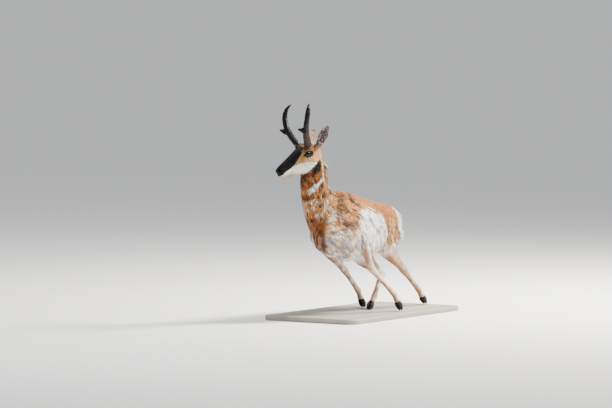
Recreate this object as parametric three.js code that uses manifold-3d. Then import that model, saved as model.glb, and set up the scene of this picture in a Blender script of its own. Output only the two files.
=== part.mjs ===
// A life-size pronghorn buck at a low run, its hooves on a plain flat base.
// Millimetres. +X is the animal's left, -Y is ahead of it and +Z is up. The origin is the middle of
// the underside of the model's box. Each body part is a closed solid of its own.
import * as THREE from "three";
import { mergeVertices } from "three/addons/utils/BufferGeometryUtils.js";
import Module from "manifold-3d";

const wasm = await Module();
wasm.setup();
const { Manifold, Mesh: SolidMesh } = wasm;

// Pose of the trunk and the head, in degrees
const TRUNK_PITCH = 11; // chest up
const TRUNK_ROLL = 9; // lean towards its right
const HEAD_HEADING = 25; // turned to its right
const HEAD_DOWN = 28;
const HEAD_ROLL = 3;

// Heights and places
const WITHERS_HEIGHT = 720; // of the top of the withers above the base
const BASE_THICKNESS = 28;
const EYES_MIDDLE = [-24, -310, 223]; // from the withers, between the eyes
const GAP = 0.3; // between neighbouring parts

// Bone lengths from joint to joint
const HUMERUS = 170;
const FOREARM = 220;
const FORE_CANNON = 235;
const FEMUR = 215;
const SHANK = 260;
const HIND_CANNON = 250;
const PASTERN = 52;
const HOOF = 60;
const TOE_HEIGHT = 4; // of the toe's middle above the base

// Where the legs start on the trunk, from the withers, as [outward, back, up]
const SHOULDER_AHEAD = [86, -132, -268];
const SHOULDER_DRAWN_BACK = [90, -84, -258];
const HIP = [86, 508, -122];

// Each leg: where it starts, and its bones' swings back from plumb and leans to the animal's left, in
// degrees. Of the third swing only the sign is used.
const LEGS = [
  {
    name: "foreleg_right",
    side: -1,
    fore: true,
    root: SHOULDER_AHEAD,
    swings: [59, 51, 54, 27],
    leans: [1, 4, -4, 2],
  },
  {
    name: "foreleg_left",
    side: 1,
    fore: true,
    root: SHOULDER_DRAWN_BACK,
    swings: [80, 16, 40, 27],
    leans: [9, 9, 14, 8],
  },
  {
    name: "hindleg_right",
    side: -1,
    fore: false,
    root: HIP,
    swings: [-38, 60, -49, -50],
    leans: [0, 8, 18, 6],
  },
  {
    name: "hindleg_left",
    side: 1,
    fore: false,
    root: HIP,
    swings: [-50, 55, 48, 38],
    leans: [8, 2, -3, 3],
  },
];

const COLOURS = {
  tan: 0xb9794a,
  white: 0xf0ebe2,
  mask: 0x2a201c,
  horn: 0x1d1a1b,
  hoof: 0x231f1e,
  eye: 0x0d0a09,
  base: 0x8c8880,
};

const radians = THREE.MathUtils.degToRad;
const vector = (p) => new THREE.Vector3(...p);

// Numbers from 0 to 1 that are the same each time
function seededRandom(seed) {
  let state = seed;
  return () => {
    state = (state * 1664525 + 1013904223) % 4294967296;
    return state / 4294967296;
  };
}

// Solids

function solidOf(geometry) {
  const bare = geometry.clone();
  bare.deleteAttribute("normal");
  bare.deleteAttribute("uv");
  const merged = mergeVertices(bare, 1e-3);
  return new Manifold(
    new SolidMesh({
      numProp: 3,
      vertProperties: merged.attributes.position.array,
      triVerts: new Uint32Array(merged.index.array),
    }),
  );
}

function geometryOf(solid) {
  const mesh = solid.getMesh();
  const geometry = new THREE.BufferGeometry();
  geometry.setAttribute("position", new THREE.BufferAttribute(new Float32Array(mesh.vertProperties), 3));
  geometry.setIndex(new THREE.BufferAttribute(new Uint32Array(mesh.triVerts), 1));
  geometry.computeVertexNormals();
  return geometry;
}

const join = (...solids) => solids.reduce((a, b) => a.add(b));

// What is cut from a neighbour: each of a part's forms, as it is and grown by the gap
const cutterOf = (forms, locks = []) =>
  join(...forms, ...forms.map((form) => grown(form)), ...locks.map((spec) => lock(spec, GAP)));

// The largest closed surface of a solid in 32-bit numbers, without scraps or sealed hollows
function largest(solid) {
  const parts = solidOf(geometryOf(solid)).decompose();
  return parts.sort((a, b) => b.volume() - a.volume())[0];
}

// The solid with its surface moved out by the gap
function grown(solid, by = GAP) {
  const geometry = geometryOf(solid);
  const { position, normal } = geometry.attributes;
  for (let i = 0; i < position.count; i++) {
    const p = new THREE.Vector3().fromBufferAttribute(position, i);
    p.addScaledVector(new THREE.Vector3().fromBufferAttribute(normal, i), by);
    position.setXYZ(i, p.x, p.y, p.z);
  }
  return solidOf(geometry);
}

// A closed skin over rings that all have the same number of points. Its ends are capped, the last at a
// tip if one is given.
function loft(rings, tip) {
  const count = rings[0].length;
  const points = rings.flat();
  const faces = [];
  for (let r = 0; r + 1 < rings.length; r++)
    for (let i = 0; i < count; i++) {
      const a = r * count + i;
      const b = r * count + ((i + 1) % count);
      faces.push(a, b, b + count, a, b + count, a + count);
    }
  for (const [first, turned] of [[0, true], [rings.length - 1, false]]) {
    const middle = new THREE.Vector3();
    rings[first].forEach((p) => middle.addScaledVector(p, 1 / count));
    const apex = points.push(first > 0 && tip ? tip : middle) - 1;
    for (let i = 0; i < count; i++) {
      const a = first * count + i;
      const b = first * count + ((i + 1) % count);
      faces.push(...(turned ? [b, a, apex] : [a, b, apex]));
    }
  }
  const geometry = new THREE.BufferGeometry().setFromPoints(points);
  geometry.setIndex(faces);
  const made = solidOf(geometry);
  if (made.volume() > 0) return made;
  for (let i = 0; i < faces.length; i += 3) [faces[i + 1], faces[i + 2]] = [faces[i + 2], faces[i + 1]];
  geometry.setIndex(faces);
  return solidOf(geometry);
}

// Values of a table of rows [place, ...values] at any place, eased between its rows
function tableAt(rows, place) {
  const last = rows.length - 1;
  let i = 0;
  while (i < last - 1 && place > rows[i + 1][0]) i++;
  const share = THREE.MathUtils.clamp((place - rows[i][0]) / (rows[i + 1][0] - rows[i][0]), 0, 1);
  const before = rows[Math.max(i - 1, 0)];
  const after = rows[Math.min(i + 2, last)];
  return rows[i].slice(1).map((value, k) => {
    const [p0, p1, p2, p3] = [before[k + 1], value, rows[i + 1][k + 1], after[k + 1]];
    const m1 = ((p2 - p0) / Math.max(rows[i + 1][0] - before[0], 1e-6)) * (rows[i + 1][0] - rows[i][0]);
    const m2 = ((p3 - p1) / Math.max(after[0] - rows[i][0], 1e-6)) * (rows[i + 1][0] - rows[i][0]);
    const [s, s2, s3] = [share, share * share, share ** 3];
    return (2 * s3 - 3 * s2 + 1) * p1 + (s3 - 2 * s2 + s) * m1 + (-2 * s3 + 3 * s2) * p2 + (s3 - s2) * m2;
  });
}

// A point of an egg-shaped section: half widths to the sides, above and below, as one angle goes round
function eggPoint(angle, side, above, below, squareness = 1) {
  const [c, s] = [Math.cos(angle), Math.sin(angle)];
  const bend = (v) => Math.sign(v) * Math.abs(v) ** squareness;
  return [side * bend(c), (s > 0 ? above : below) * bend(s)];
}

// Frames: each takes [left, back, up] in its own axes to the part's frame

const withers = new THREE.Vector3(0, 0, BASE_THICKNESS + WITHERS_HEIGHT);

const trunkFrame = new THREE.Matrix4()
  .makeRotationFromEuler(new THREE.Euler(radians(-TRUNK_PITCH), radians(-TRUNK_ROLL), 0, "XYZ"))
  .setPosition(withers);

const headFrame = new THREE.Matrix4()
  .makeRotationFromEuler(
    new THREE.Euler(radians(HEAD_DOWN), radians(-HEAD_ROLL), radians(-HEAD_HEADING), "ZXY"),
  )
  .setPosition(withers.clone().add(vector(EYES_MIDDLE)));

const inTrunk = (p) => vector(p).applyMatrix4(trunkFrame);
const inHead = (p) => vector(p).applyMatrix4(headFrame);

// Trunk: rows of [back, top, widest level, bottom, half width], from the withers

const TRUNK_ROWS = [
  [-200, -262, -292, -322, 20],
  [-186, -214, -290, -358, 50],
  [-150, -140, -283, -388, 82],
  [-90, -62, -266, -400, 106],
  [-20, -2, -250, -406, 126],
  [60, 8, -232, -404, 142],
  [170, 4, -216, -390, 158],
  [280, -4, -200, -364, 160],
  [380, -6, -178, -326, 146],
  [460, -4, -150, -288, 128],
  [530, -10, -128, -262, 110],
  [585, -34, -124, -240, 87],
  [620, -66, -134, -222, 60],
  [640, -100, -146, -198, 32],
];
const TRUNK_SIDES = 30;

// A point of the trunk's surface. Angle 0 is its left side and 90 degrees its back line.
function trunkPoint(back, angle) {
  const [top, level, bottom, half] = tableAt(TRUNK_ROWS, back);
  const ridge = 1 + 0.16 * Math.exp(-(((back - 20) / 90) ** 2)) * Math.max(Math.sin(angle), 0);
  const [x, z] = eggPoint(angle, half, top - level, level - bottom, 0.92);
  return inTrunk([x * (2 - ridge), back, level + z]);
}

function trunkLoft() {
  const rings = [];
  const stations = [-200, -188, -160, -125, -85, -45, 0, 50, 105, 165, 225, 285, 345, 400, 450, 500, 545, 585, 620, 640];
  for (const back of stations)
    rings.push(
      Array.from({ length: TRUNK_SIDES }, (_, i) => trunkPoint(back, (i / TRUNK_SIDES) * 2 * Math.PI)),
    );
  return loft(rings);
}

// Locks: flat tapered blades that bend over as they leave the surface

// The outward normal of a surface given as a function of two places
function normalOn(surface, u, v, du, dv, inside) {
  const a = surface(u + du, v).sub(surface(u - du, v));
  const b = surface(u, v + dv).sub(surface(u, v - dv));
  const normal = a.cross(b).normalize();
  return normal.dot(surface(u, v).sub(inside)) < 0 ? normal.negate() : normal;
}

const LOCK_STEPS = [-0.12, 0.3, 0.7];
const LOCK_WIDTHS = [0.8, 1, 0.6];

// One lock: it starts under the surface, leaves it along rise, and bends over towards lie. It can be
// made a little larger all round, to cut its neighbours.
function lock({ root, rise, lie, length, width, thickness, curl }, extra = 0) {
  const path = (t) =>
    root
      .clone()
      .addScaledVector(rise, length * (t - 0.5 * curl * t * Math.abs(t)))
      .addScaledVector(lie, length * curl * t * Math.abs(t));
  const rings = LOCK_STEPS.map((t, k) => {
    const ahead = path(t + 0.05).sub(path(t - 0.05)).normalize();
    const across = new THREE.Vector3().crossVectors(ahead, rise.clone().add(lie).normalize());
    if (across.lengthSq() < 1e-4) across.crossVectors(ahead, new THREE.Vector3(0.3, 0.9, 0.1));
    across.normalize();
    const out = new THREE.Vector3().crossVectors(across, ahead).normalize();
    const thin = (thickness / 2) * LOCK_WIDTHS[k];
    const fuller = 1 + (1.2 * extra) / thin;
    const half = (width / 2) * LOCK_WIDTHS[k] * fuller;
    const deep = thin * fuller;
    return [[half, 0], [0, deep], [-half, 0], [0, -deep]].map(([x, z]) =>
      path(t).addScaledVector(across, x).addScaledVector(out, z),
    );
  });
  return loft(rings, path(1 + (4 * extra) / length));
}

// Trunk with its coat

const trunkMiddle = (back) => {
  const [, level] = tableAt(TRUNK_ROWS, back);
  return inTrunk([0, back, level]);
};

// The flared white hair either side of the tail: rows by place, with angles from the back line
const RUMP_ROWS = [
  { back: 546, from: 26, to: 52, count: 2, length: 52 },
  { back: 582, from: 18, to: 92, count: 5, length: 45 },
  { back: 616, from: 16, to: 124, count: 6, length: 42 },
];

// The shaggy lower edge of the flank, ahead of the thigh
const FLANK_ROWS = [{ from: 120, to: 400, angle: -48, count: 8, length: 58 }];

function trunkLocks() {
  const random = seededRandom(7);
  const made = [];
  const tailwards = inTrunk([0, 1, -0.35]).sub(inTrunk([0, 0, 0])).normalize();
  const downwards = inTrunk([0, 0.55, -1]).sub(inTrunk([0, 0, 0])).normalize();
  for (const side of [-1, 1]) {
    for (const row of RUMP_ROWS)
      for (let i = 0; i < row.count; i++) {
        const share = row.count > 1 ? i / (row.count - 1) : 0.5;
        const turn = radians(row.from + (row.to - row.from) * share + 5 * (random() - 0.5));
        const angle = Math.PI / 2 - side * turn;
        const back = row.back + 12 * (random() - 0.5);
        const root = trunkPoint(back, angle);
        const normal = normalOn(trunkPoint, back, angle, 4, 0.02, trunkMiddle(back));
        made.push({
          root: root.addScaledVector(normal, -4),
          rise: normal.clone().addScaledVector(tailwards, 0.45).normalize(),
          lie: tailwards,
          length: row.length * (0.88 + 0.24 * random()),
          width: 40,
          thickness: 9,
          curl: 0.3,
        });
      }
    for (const row of FLANK_ROWS)
      for (let i = 0; i < row.count; i++) {
        const back = row.from + ((row.to - row.from) * i) / (row.count - 1) + 10 * (random() - 0.5);
        const angle = side > 0 ? radians(row.angle) : Math.PI - radians(row.angle);
        const root = trunkPoint(back, angle);
        const normal = normalOn(trunkPoint, back, angle, 4, 0.02, trunkMiddle(back));
        const along = downwards.clone().addScaledVector(normal, -downwards.dot(normal)).normalize();
        made.push({
          root: root.addScaledVector(normal, -3),
          rise: along.clone().addScaledVector(normal, 0.32).normalize(),
          lie: along,
          length: row.length * (0.85 + 0.3 * random()),
          width: 42,
          thickness: 7,
          curl: 0.25,
        });
      }
  }
  return made;
}

// Neck: rows of [share, towards the throat, towards the nape, half width]

const NECK_CURVE = new THREE.CatmullRomCurve3(
  [[6, 10, -235], [-10, -110, -160], [-22, -172, -45], [-14, -222, 70], [0, -246, 175], [4, -262, 240]].map((p) =>
    vector(p).add(withers),
  ),
);
const NECK_ROWS = [
  [0, 152, 160, 94],
  [0.2, 128, 136, 88],
  [0.4, 108, 108, 76],
  [0.6, 92, 84, 66],
  [0.8, 82, 63, 58],
  [1, 70, 44, 49],
];
const NECK_SIDES = 24;

// A point of the neck's surface. Angle 0 is its left side and 90 degrees the nape.
function neckPoint(share, angle) {
  const [throat, nape, half] = tableAt(NECK_ROWS, share);
  const along = NECK_CURVE.getTangent(THREE.MathUtils.clamp(share, 0, 1));
  const left = new THREE.Vector3(1, 0, 0).applyAxisAngle(new THREE.Vector3(0, 0, 1), -radians(HEAD_HEADING) * share);
  const up = new THREE.Vector3().crossVectors(left, along).normalize();
  if (up.y < 0) up.negate();
  left.crossVectors(along, up).normalize();
  if (left.x < 0) left.negate();
  const [x, z] = eggPoint(angle, half, nape, throat, 0.95);
  return NECK_CURVE.getPoint(THREE.MathUtils.clamp(share, 0, 1)).addScaledVector(left, x).addScaledVector(up, z);
}

function neckLoft() {
  const rings = [];
  const steps = 13;
  for (let s = 0; s <= steps; s++)
    rings.push(
      Array.from({ length: NECK_SIDES }, (_, i) => neckPoint(s / steps, (i / NECK_SIDES) * 2 * Math.PI)),
    );
  return loft(rings);
}

const MANE = { from: 0.4, to: 0.84, count: 8, length: 46, width: 28, thickness: 9, columns: [-9, 9] };

function maneLocks() {
  const random = seededRandom(11);
  const made = [];
  MANE.columns.forEach((column, c) => {
    for (let i = 0; i < MANE.count; i++) {
      const share = MANE.from + ((MANE.to - MANE.from) * (i + 0.4 * (c % 2))) / (MANE.count - 1);
      const angle = Math.PI / 2 + radians(column + 4 * (random() - 0.5));
      const middle = NECK_CURVE.getPoint(THREE.MathUtils.clamp(share, 0, 1));
      const normal = normalOn(neckPoint, share, angle, 0.01, 0.02, middle);
      const down = NECK_CURVE.getTangent(THREE.MathUtils.clamp(share, 0, 1)).negate();
      made.push({
        root: neckPoint(share, angle).addScaledVector(normal, -4),
        rise: down.clone().addScaledVector(normal, 0.75).normalize(),
        lie: down,
        length: MANE.length * (0.85 + 0.3 * random()),
        width: MANE.width,
        thickness: MANE.thickness,
        curl: 0.35,
      });
    }
  });
  return made;
}

// Head: rows of [back, top, widest level, bottom, half width], from the middle between the eyes

const HEAD_ROWS = [
  [-207, 4, -14, -30, 12],
  [-201, 14, -14, -42, 22],
  [-186, 21, -12, -56, 28],
  [-165, 26, -10, -62, 30],
  [-130, 32, -8, -70, 31],
  [-90, 40, -6, -84, 36],
  [-50, 48, 0, -98, 45],
  [-20, 54, 4, -108, 53],
  [10, 58, 2, -114, 57],
  [40, 60, -6, -112, 54],
  [68, 54, -12, -98, 48],
  [92, 38, -16, -74, 38],
  [106, 14, -20, -50, 20],
];
const HEAD_STATIONS = [-207, -201, -190, -172, -145, -118, -90, -62, -34, -6, 22, 50, 76, 94, 106];
const HEAD_SIDES = 24;

// A point of the head's surface. Angle 0 is its left side and 90 degrees the forehead.
function headPoint(back, angle) {
  const [top, level, bottom, half] = tableAt(HEAD_ROWS, back);
  const jaw = Math.max(-Math.sin(angle), 0);
  const [x, z] = eggPoint(angle, half, top - level, level - bottom, 0.85);
  return inHead([x * (1 - 0.16 * jaw), back, level + z]);
}

const EYE = { out: 40, back: 2, up: 2, radius: 23 };
const HORN_BASE = { out: 54, back: 24, up: 51 };
const EAR_BASE = { out: 54, back: 94, up: 16 };

function ball(centre, radii, frame, across = 12, down = 8) {
  const geometry = new THREE.SphereGeometry(1, across, down);
  geometry.applyMatrix4(new THREE.Matrix4().makeScale(...radii).setPosition(vector(centre)));
  geometry.applyMatrix4(frame);
  return solidOf(geometry);
}

// A lid's rim: a ring round the eye that follows the ball
function lidRing(side) {
  const geometry = new THREE.TorusGeometry(18.5, 3.8, 5, 14);
  geometry.rotateY(Math.PI / 2);
  geometry.scale(1, 1.16, 0.84);
  geometry.rotateX(radians(-12));
  geometry.rotateZ(radians(side * 8));
  geometry.translate(side * (EYE.out + 14), EYE.back, EYE.up);
  geometry.applyMatrix4(headFrame);
  return solidOf(geometry);
}

// A thin groove whose line runs round the muzzle from one corner of the mouth to the other
function mouthGroove() {
  const corner = -126;
  const front = -208;
  const steps = 7;
  const rings = [];
  for (let s = -steps; s <= steps; s++) {
    const share = Math.abs(s) / steps;
    const back = THREE.MathUtils.lerp(front, corner, share ** 1.6);
    const height = -34 - 14 * share + 3 * Math.sin(share * Math.PI);
    const [, , , half] = tableAt(HEAD_ROWS, Math.max(back, -205));
    const out = Math.sign(s) * half * 0.94 * Math.min(1, Math.abs(s) / 2.2);
    const centre = inHead([out, back, height]);
    const inward = inHead([0, Math.max(back, -185), height]).sub(centre).normalize();
    const up = inHead([0, 0, 1]).sub(inHead([0, 0, 0]));
    rings.push(
      [[5, 0], [0, 1.3], [-4, 0], [0, -1.3]].map(([deep, high]) =>
        centre.clone().addScaledVector(inward, deep).addScaledVector(up, high),
      ),
    );
  }
  return loft(rings);
}

function headForms() {
  const rings = HEAD_STATIONS.map((back) =>
    Array.from({ length: HEAD_SIDES }, (_, i) => headPoint(back, (i / HEAD_SIDES) * 2 * Math.PI)),
  );
  const forms = [loft(rings)];
  for (const side of [-1, 1])
    forms.push(
      ball([side * 35, 4, 6], [28, 36, 29], headFrame), // orbit
      ball([side * HORN_BASE.out, HORN_BASE.back + 2, 44], [21, 29, 16], headFrame, 10, 6), // foot of the horn
      ball([side * 40, 86, 10], [18, 24, 22], headFrame, 10, 6), // root of the ear
      ball([side * 15, -190, 0], [14, 18, 13], headFrame, 10, 6), // wing of the nose
      lidRing(side),
    );
  forms.push(ball([0, -178, -50], [21, 21, 13], headFrame, 10, 6)); // lower lip
  return forms;
}

function headSolid() {
  let head = join(...headForms());
  for (const side of [-1, 1]) {
    const eye = [side * EYE.out, EYE.back, EYE.up];
    const r = EYE.radius + GAP;
    head = head.subtract(ball(eye, [r, r, r], headFrame, 14, 10));
    const nostril = new THREE.Matrix4()
      .makeRotationFromEuler(new THREE.Euler(radians(30), 0, radians(side * 28)))
      .setPosition(side * 22, -197, 2);
    head = head.subtract(ball([0, 0, 0], [6, 9, 4.5], headFrame.clone().multiply(nostril), 8, 6));
  }
  return head.subtract(mouthGroove());
}

const eyeSolid = (side) =>
  ball([side * EYE.out, EYE.back, EYE.up], [EYE.radius, EYE.radius, EYE.radius], headFrame, 14, 10);

// Horns: rows of [share, half depth fore and aft, half width], on a curve from the base

const HORN_CURVE = [[0, 0, -16], [4, 2, 6], [28, 2, 52], [56, 12, 108], [76, 40, 164], [70, 74, 202], [46, 106, 218]];
const HORN_ROWS = [
  [0, 24, 18],
  [0.18, 23, 17],
  [0.42, 22, 14.5],
  [0.52, 19, 14],
  [0.64, 17, 13.5],
  [0.8, 14, 11.5],
  [0.93, 8, 7],
  [0.98, 4, 3.5],
];
const HORN_STEPS = 12;
const HORN_SIDES = 10;
const PRONG = { foot: [56, 6, 96], tip: [50, -44, 128], halfHeight: 20, halfWidth: 9 };

function hornSolid(side) {
  const curve = new THREE.CatmullRomCurve3(
    HORN_CURVE.map(([out, back, up]) =>
      inHead([side * (HORN_BASE.out + out), HORN_BASE.back + back, HORN_BASE.up + up]),
    ),
  );
  const forward = inHead([0, -1, 0]).sub(inHead([0, 0, 0]));
  const rings = [];
  for (let s = 0; s <= HORN_STEPS; s++) {
    const share = (s / HORN_STEPS) * 0.98;
    const [deep, half] = tableAt(HORN_ROWS, share);
    const along = curve.getTangent(share);
    const across = new THREE.Vector3().crossVectors(along, forward).normalize();
    const fore = new THREE.Vector3().crossVectors(across, along).normalize();
    rings.push(
      Array.from({ length: HORN_SIDES }, (_, i) => {
        const [x, y] = eggPoint((i / HORN_SIDES) * 2 * Math.PI, half, deep, deep, 0.9);
        return curve.getPoint(share).addScaledVector(across, x).addScaledVector(fore, y);
      }),
    );
  }
  const at = ([out, back, up]) => inHead([side * (HORN_BASE.out + out), HORN_BASE.back + back, HORN_BASE.up + up]);
  const [foot, tip] = [at(PRONG.foot), at(PRONG.tip)];
  const reach = tip.clone().sub(foot);
  const out = inHead([side, 0, 0]).sub(inHead([0, 0, 0]));
  const tall = new THREE.Vector3().crossVectors(out, reach).normalize();
  if (tall.z < 0) tall.negate();
  const prong = loft(
    [[0, 1, 1], [0.35, 0.9, 0.8], [0.75, 0.42, 0.5]].map(([t, high, wide]) =>
      Array.from({ length: 8 }, (_, i) => {
        const turn = (i / 8) * 2 * Math.PI;
        return foot
          .clone()
          .addScaledVector(reach, t)
          .addScaledVector(tall, PRONG.halfHeight * high * Math.sin(turn) - 9 * (1 - t))
          .addScaledVector(out, PRONG.halfWidth * wide * Math.cos(turn));
      }),
    ),
    tip,
  );
  return loft(rings, curve.getPoint(1)).add(prong);
}

// Ears: a leaf-shaped cup on a curve from its root to its tip, open outward and forward

const EAR_REACHES = { 1: [42, 86, 78], [-1]: [52, 98, 48] };
const EAR_ROWS = [
  [0, 18, 15],
  [0.15, 24, 16],
  [0.35, 33, 15],
  [0.55, 34, 13],
  [0.75, 25, 10],
  [0.92, 11, 6],
  [1, 1.5, 1.5],
];
const EAR_WALL = 2.4;

function earSolid(side) {
  const root = inHead([side * EAR_BASE.out, EAR_BASE.back, EAR_BASE.up]);
  const [out, back, up] = EAR_REACHES[side];
  const reach = inHead([side * out, back, up]).sub(inHead([0, 0, 0]));
  const along = reach.clone().normalize();
  const open = inHead([side * 0.9, 0.35, 0.1]).sub(inHead([0, 0, 0])).normalize();
  open.addScaledVector(along, -open.dot(along)).normalize();
  const across = new THREE.Vector3().crossVectors(along, open).normalize();
  const shell = (inset, shift, from) => {
    const shares = [from, 0.15, 0.35, 0.55, 0.75, 0.92, inset ? 0.965 : 1];
    return loft(
      shares.map((share) => {
        const [wide, deep] = tableAt(EAR_ROWS, Math.max(share, 0));
        return Array.from({ length: 12 }, (_, i) => {
          const turn = (i / 12) * 2 * Math.PI;
          return root
            .clone()
            .addScaledVector(reach, share)
            .addScaledVector(across, Math.max(wide - inset, 0.8) * Math.cos(turn))
            .addScaledVector(open, Math.max(deep - inset, 0.8) * Math.sin(turn) + shift);
        });
      }),
    );
  };
  return shell(0, 0, -0.1).subtract(shell(EAR_WALL, 8.5, 0.12));
}

// Tail: short and flat, on the trunk's end, with its hair in locks

function tailSolid() {
  const root = inTrunk([0, 598, -62]);
  const tip = inTrunk([0, 664, -132]);
  const along = tip.clone().sub(root).normalize();
  const left = inTrunk([1, 0, 0]).sub(inTrunk([0, 0, 0]));
  const out = new THREE.Vector3().crossVectors(left, along).normalize();
  if (out.y < 0) out.negate();
  const rows = [[0, 17, 13], [0.3, 19, 13], [0.7, 15, 9], [1, 6, 4]];
  const dock = loft(
    rows.map(([share, half, deep]) =>
      Array.from({ length: 8 }, (_, i) => {
        const turn = (i / 8) * 2 * Math.PI;
        return root
          .clone()
          .lerp(tip, share)
          .addScaledVector(left, half * Math.cos(turn))
          .addScaledVector(out, deep * Math.sin(turn));
      }),
    ),
  );
  const random = seededRandom(5);
  const locks = [];
  for (const [share, spread] of [[0.4, 3], [0.8, 3]])
    for (let i = 0; i < spread; i++) {
      const lean = (i / (spread - 1) - 0.5) * 2;
      locks.push(
        lock({
          root: root.clone().lerp(tip, share).addScaledVector(left, lean * 7).addScaledVector(out, 2),
          rise: along.clone().addScaledVector(left, lean * 0.4).addScaledVector(out, 0.35).normalize(),
          lie: along,
          length: 52 * (0.85 + 0.3 * random()),
          width: 19,
          thickness: 7,
          curl: 0.3,
        }),
      );
    }
  return join(dock, ...locks);
}

// Legs

// The way a bone points for its swing back and its lean to the left
function bonePointing(swing, lean) {
  const [a, b] = [radians(swing), radians(lean)];
  return new THREE.Vector3(Math.sin(b), Math.sin(a) * Math.cos(b), -Math.cos(a) * Math.cos(b));
}

// The leg's joints from its root to the tip of its toe. The cannon's swing brings the toe to the base.
function legJoints(leg) {
  const [out, back, up] = leg.root;
  const lengths = leg.fore
    ? [HUMERUS, FOREARM, FORE_CANNON, PASTERN, HOOF]
    : [FEMUR, SHANK, HIND_CANNON, PASTERN, HOOF];
  const bones = lengths.map((length, i) =>
    bonePointing(leg.swings[Math.min(i, 3)], leg.leans[Math.min(i, 3)]).multiplyScalar(length),
  );
  const root = inTrunk([leg.side * out, back, up]);
  const drop = root.z - BASE_THICKNESS - TOE_HEIGHT + bones[0].z + bones[1].z + bones[3].z + bones[4].z;
  const lean = leg.leans[2];
  const swing = Math.acos(Math.min(drop / (lengths[2] * Math.cos(radians(lean))), 1));
  const turned = Math.sign(leg.swings[2]) * THREE.MathUtils.radToDeg(swing);
  bones[2] = bonePointing(turned, lean).multiplyScalar(lengths[2]);
  const joints = [root];
  for (const bone of bones) joints.push(joints.at(-1).clone().add(bone));
  return joints;
}

// Rings along a chain of joints. A row is [joint and share of the next bone, fore, aft, half width].
function chainRings(joints, rows, sides) {
  const last = joints.length - 2;
  return rows.map(([place, fore, aft, half]) => {
    const bone = THREE.MathUtils.clamp(Math.floor(place), 0, last);
    const share = place - bone;
    const ways = [bone - 1, bone, bone + 1].map((b) => {
      const k = THREE.MathUtils.clamp(b, 0, last);
      return joints[k + 1].clone().sub(joints[k]).normalize();
    });
    const nearStart = Math.max(0, 0.5 - share * 2.5);
    const nearEnd = Math.max(0, 0.5 - (1 - share) * 2.5);
    const along = ways[1]
      .clone()
      .multiplyScalar(1 - nearStart - nearEnd)
      .addScaledVector(ways[0], nearStart)
      .addScaledVector(ways[2], nearEnd)
      .normalize();
    const left = new THREE.Vector3(1, 0, 0);
    left.addScaledVector(along, -left.dot(along)).normalize();
    const ahead = new THREE.Vector3().crossVectors(left, along).normalize();
    if (ahead.y > 0 || (Math.abs(ahead.y) < 0.2 && ahead.z < 0)) ahead.negate();
    const centre = joints[bone].clone().lerp(joints[bone + 1], share);
    return Array.from({ length: sides }, (_, i) => {
      const [x, y] = eggPoint((i / sides) * 2 * Math.PI, half, fore, aft, 0.95);
      return centre.clone().addScaledVector(left, x).addScaledVector(ahead, y);
    });
  });
}

const FORE_ROWS = [
  [0.55, 24, 26, 20],
  [0.8, 36, 40, 29],
  [0.98, 43, 48, 35],
  [1.1, 43, 43, 34],
  [1.3, 39, 35, 29],
  [1.5, 31, 28, 24],
  [1.7, 25, 22, 20],
  [1.88, 23, 21, 19],
  [2, 25, 24, 22],
  [2.08, 23, 24, 20],
  [2.2, 18, 20, 16],
  [2.45, 16, 18, 14],
  [2.75, 16, 18, 14],
  [2.9, 18, 20, 17],
  [3, 19, 23, 19],
  [3.35, 16, 18, 16],
  [3.75, 16, 18, 18],
  [4, 17, 18, 20],
];
const HIND_ROWS = [
  [0.5, 34, 38, 28],
  [0.8, 46, 60, 38],
  [1, 50, 76, 43],
  [1.2, 47, 72, 40],
  [1.45, 38, 58, 31],
  [1.66, 29, 44, 23],
  [1.84, 23, 36, 19],
  [1.95, 24, 36, 21],
  [2.03, 25, 38, 22],
  [2.12, 23, 30, 21],
  [2.26, 18, 22, 17],
  [2.5, 16, 19, 14.5],
  [2.78, 16, 19, 14.5],
  [2.91, 18, 21, 17],
  [3, 19, 24, 19],
  [3.35, 16, 18, 16],
  [3.75, 16, 18, 18],
  [4, 17, 18, 20],
];
const LIMB_SIDES = 14;

// A limb from inside the muscles that carry it to the end of its pastern
const limbLoft = (leg) => loft(chainRings(legJoints(leg), leg.fore ? FORE_ROWS : HIND_ROWS, LIMB_SIDES));

// A mass of muscle: an egg between two ends, with half sizes across and fore and aft
function muscle(from, to, wide, deep, overrun = 1.1) {
  const along = to.clone().sub(from);
  const half = (along.length() / 2) * overrun;
  along.normalize();
  const left = new THREE.Vector3(1, 0, 0);
  left.addScaledVector(along, -left.dot(along)).normalize();
  const ahead = new THREE.Vector3().crossVectors(left, along).normalize();
  const geometry = new THREE.SphereGeometry(1, 16, 12);
  geometry.rotateX(Math.PI / 2);
  geometry.applyMatrix4(
    new THREE.Matrix4()
      .makeBasis(left.multiplyScalar(wide), ahead.multiplyScalar(-deep), along.multiplyScalar(half))
      .setPosition(from.clone().add(to).multiplyScalar(0.5)),
  );
  const made = solidOf(geometry);
  if (made.volume() > 0) return made;
  throw new Error("a muscle is inside out");
}

// The masses of the shoulder or the haunch, which belong to the trunk
function limbMasses(leg) {
  const joints = legJoints(leg);
  const { side } = leg;
  if (leg.fore)
    return [
      muscle(inTrunk([side * 62, 20, -40]), joints[0], 44, 74, 1.06),
      muscle(joints[0], joints[1], 40, 56, 1.25),
      muscle(inTrunk([side * 84, 44, -150]), joints[1], 40, 52, 1.1),
    ];
  return [
    muscle(inTrunk([side * 70, 462, -70]), joints[1], 54, 98, 1.08),
    muscle(inTrunk([side * 60, 596, -150]), joints[1].clone().lerp(joints[2], 0.06), 44, 58, 1.08),
  ];
}

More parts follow.
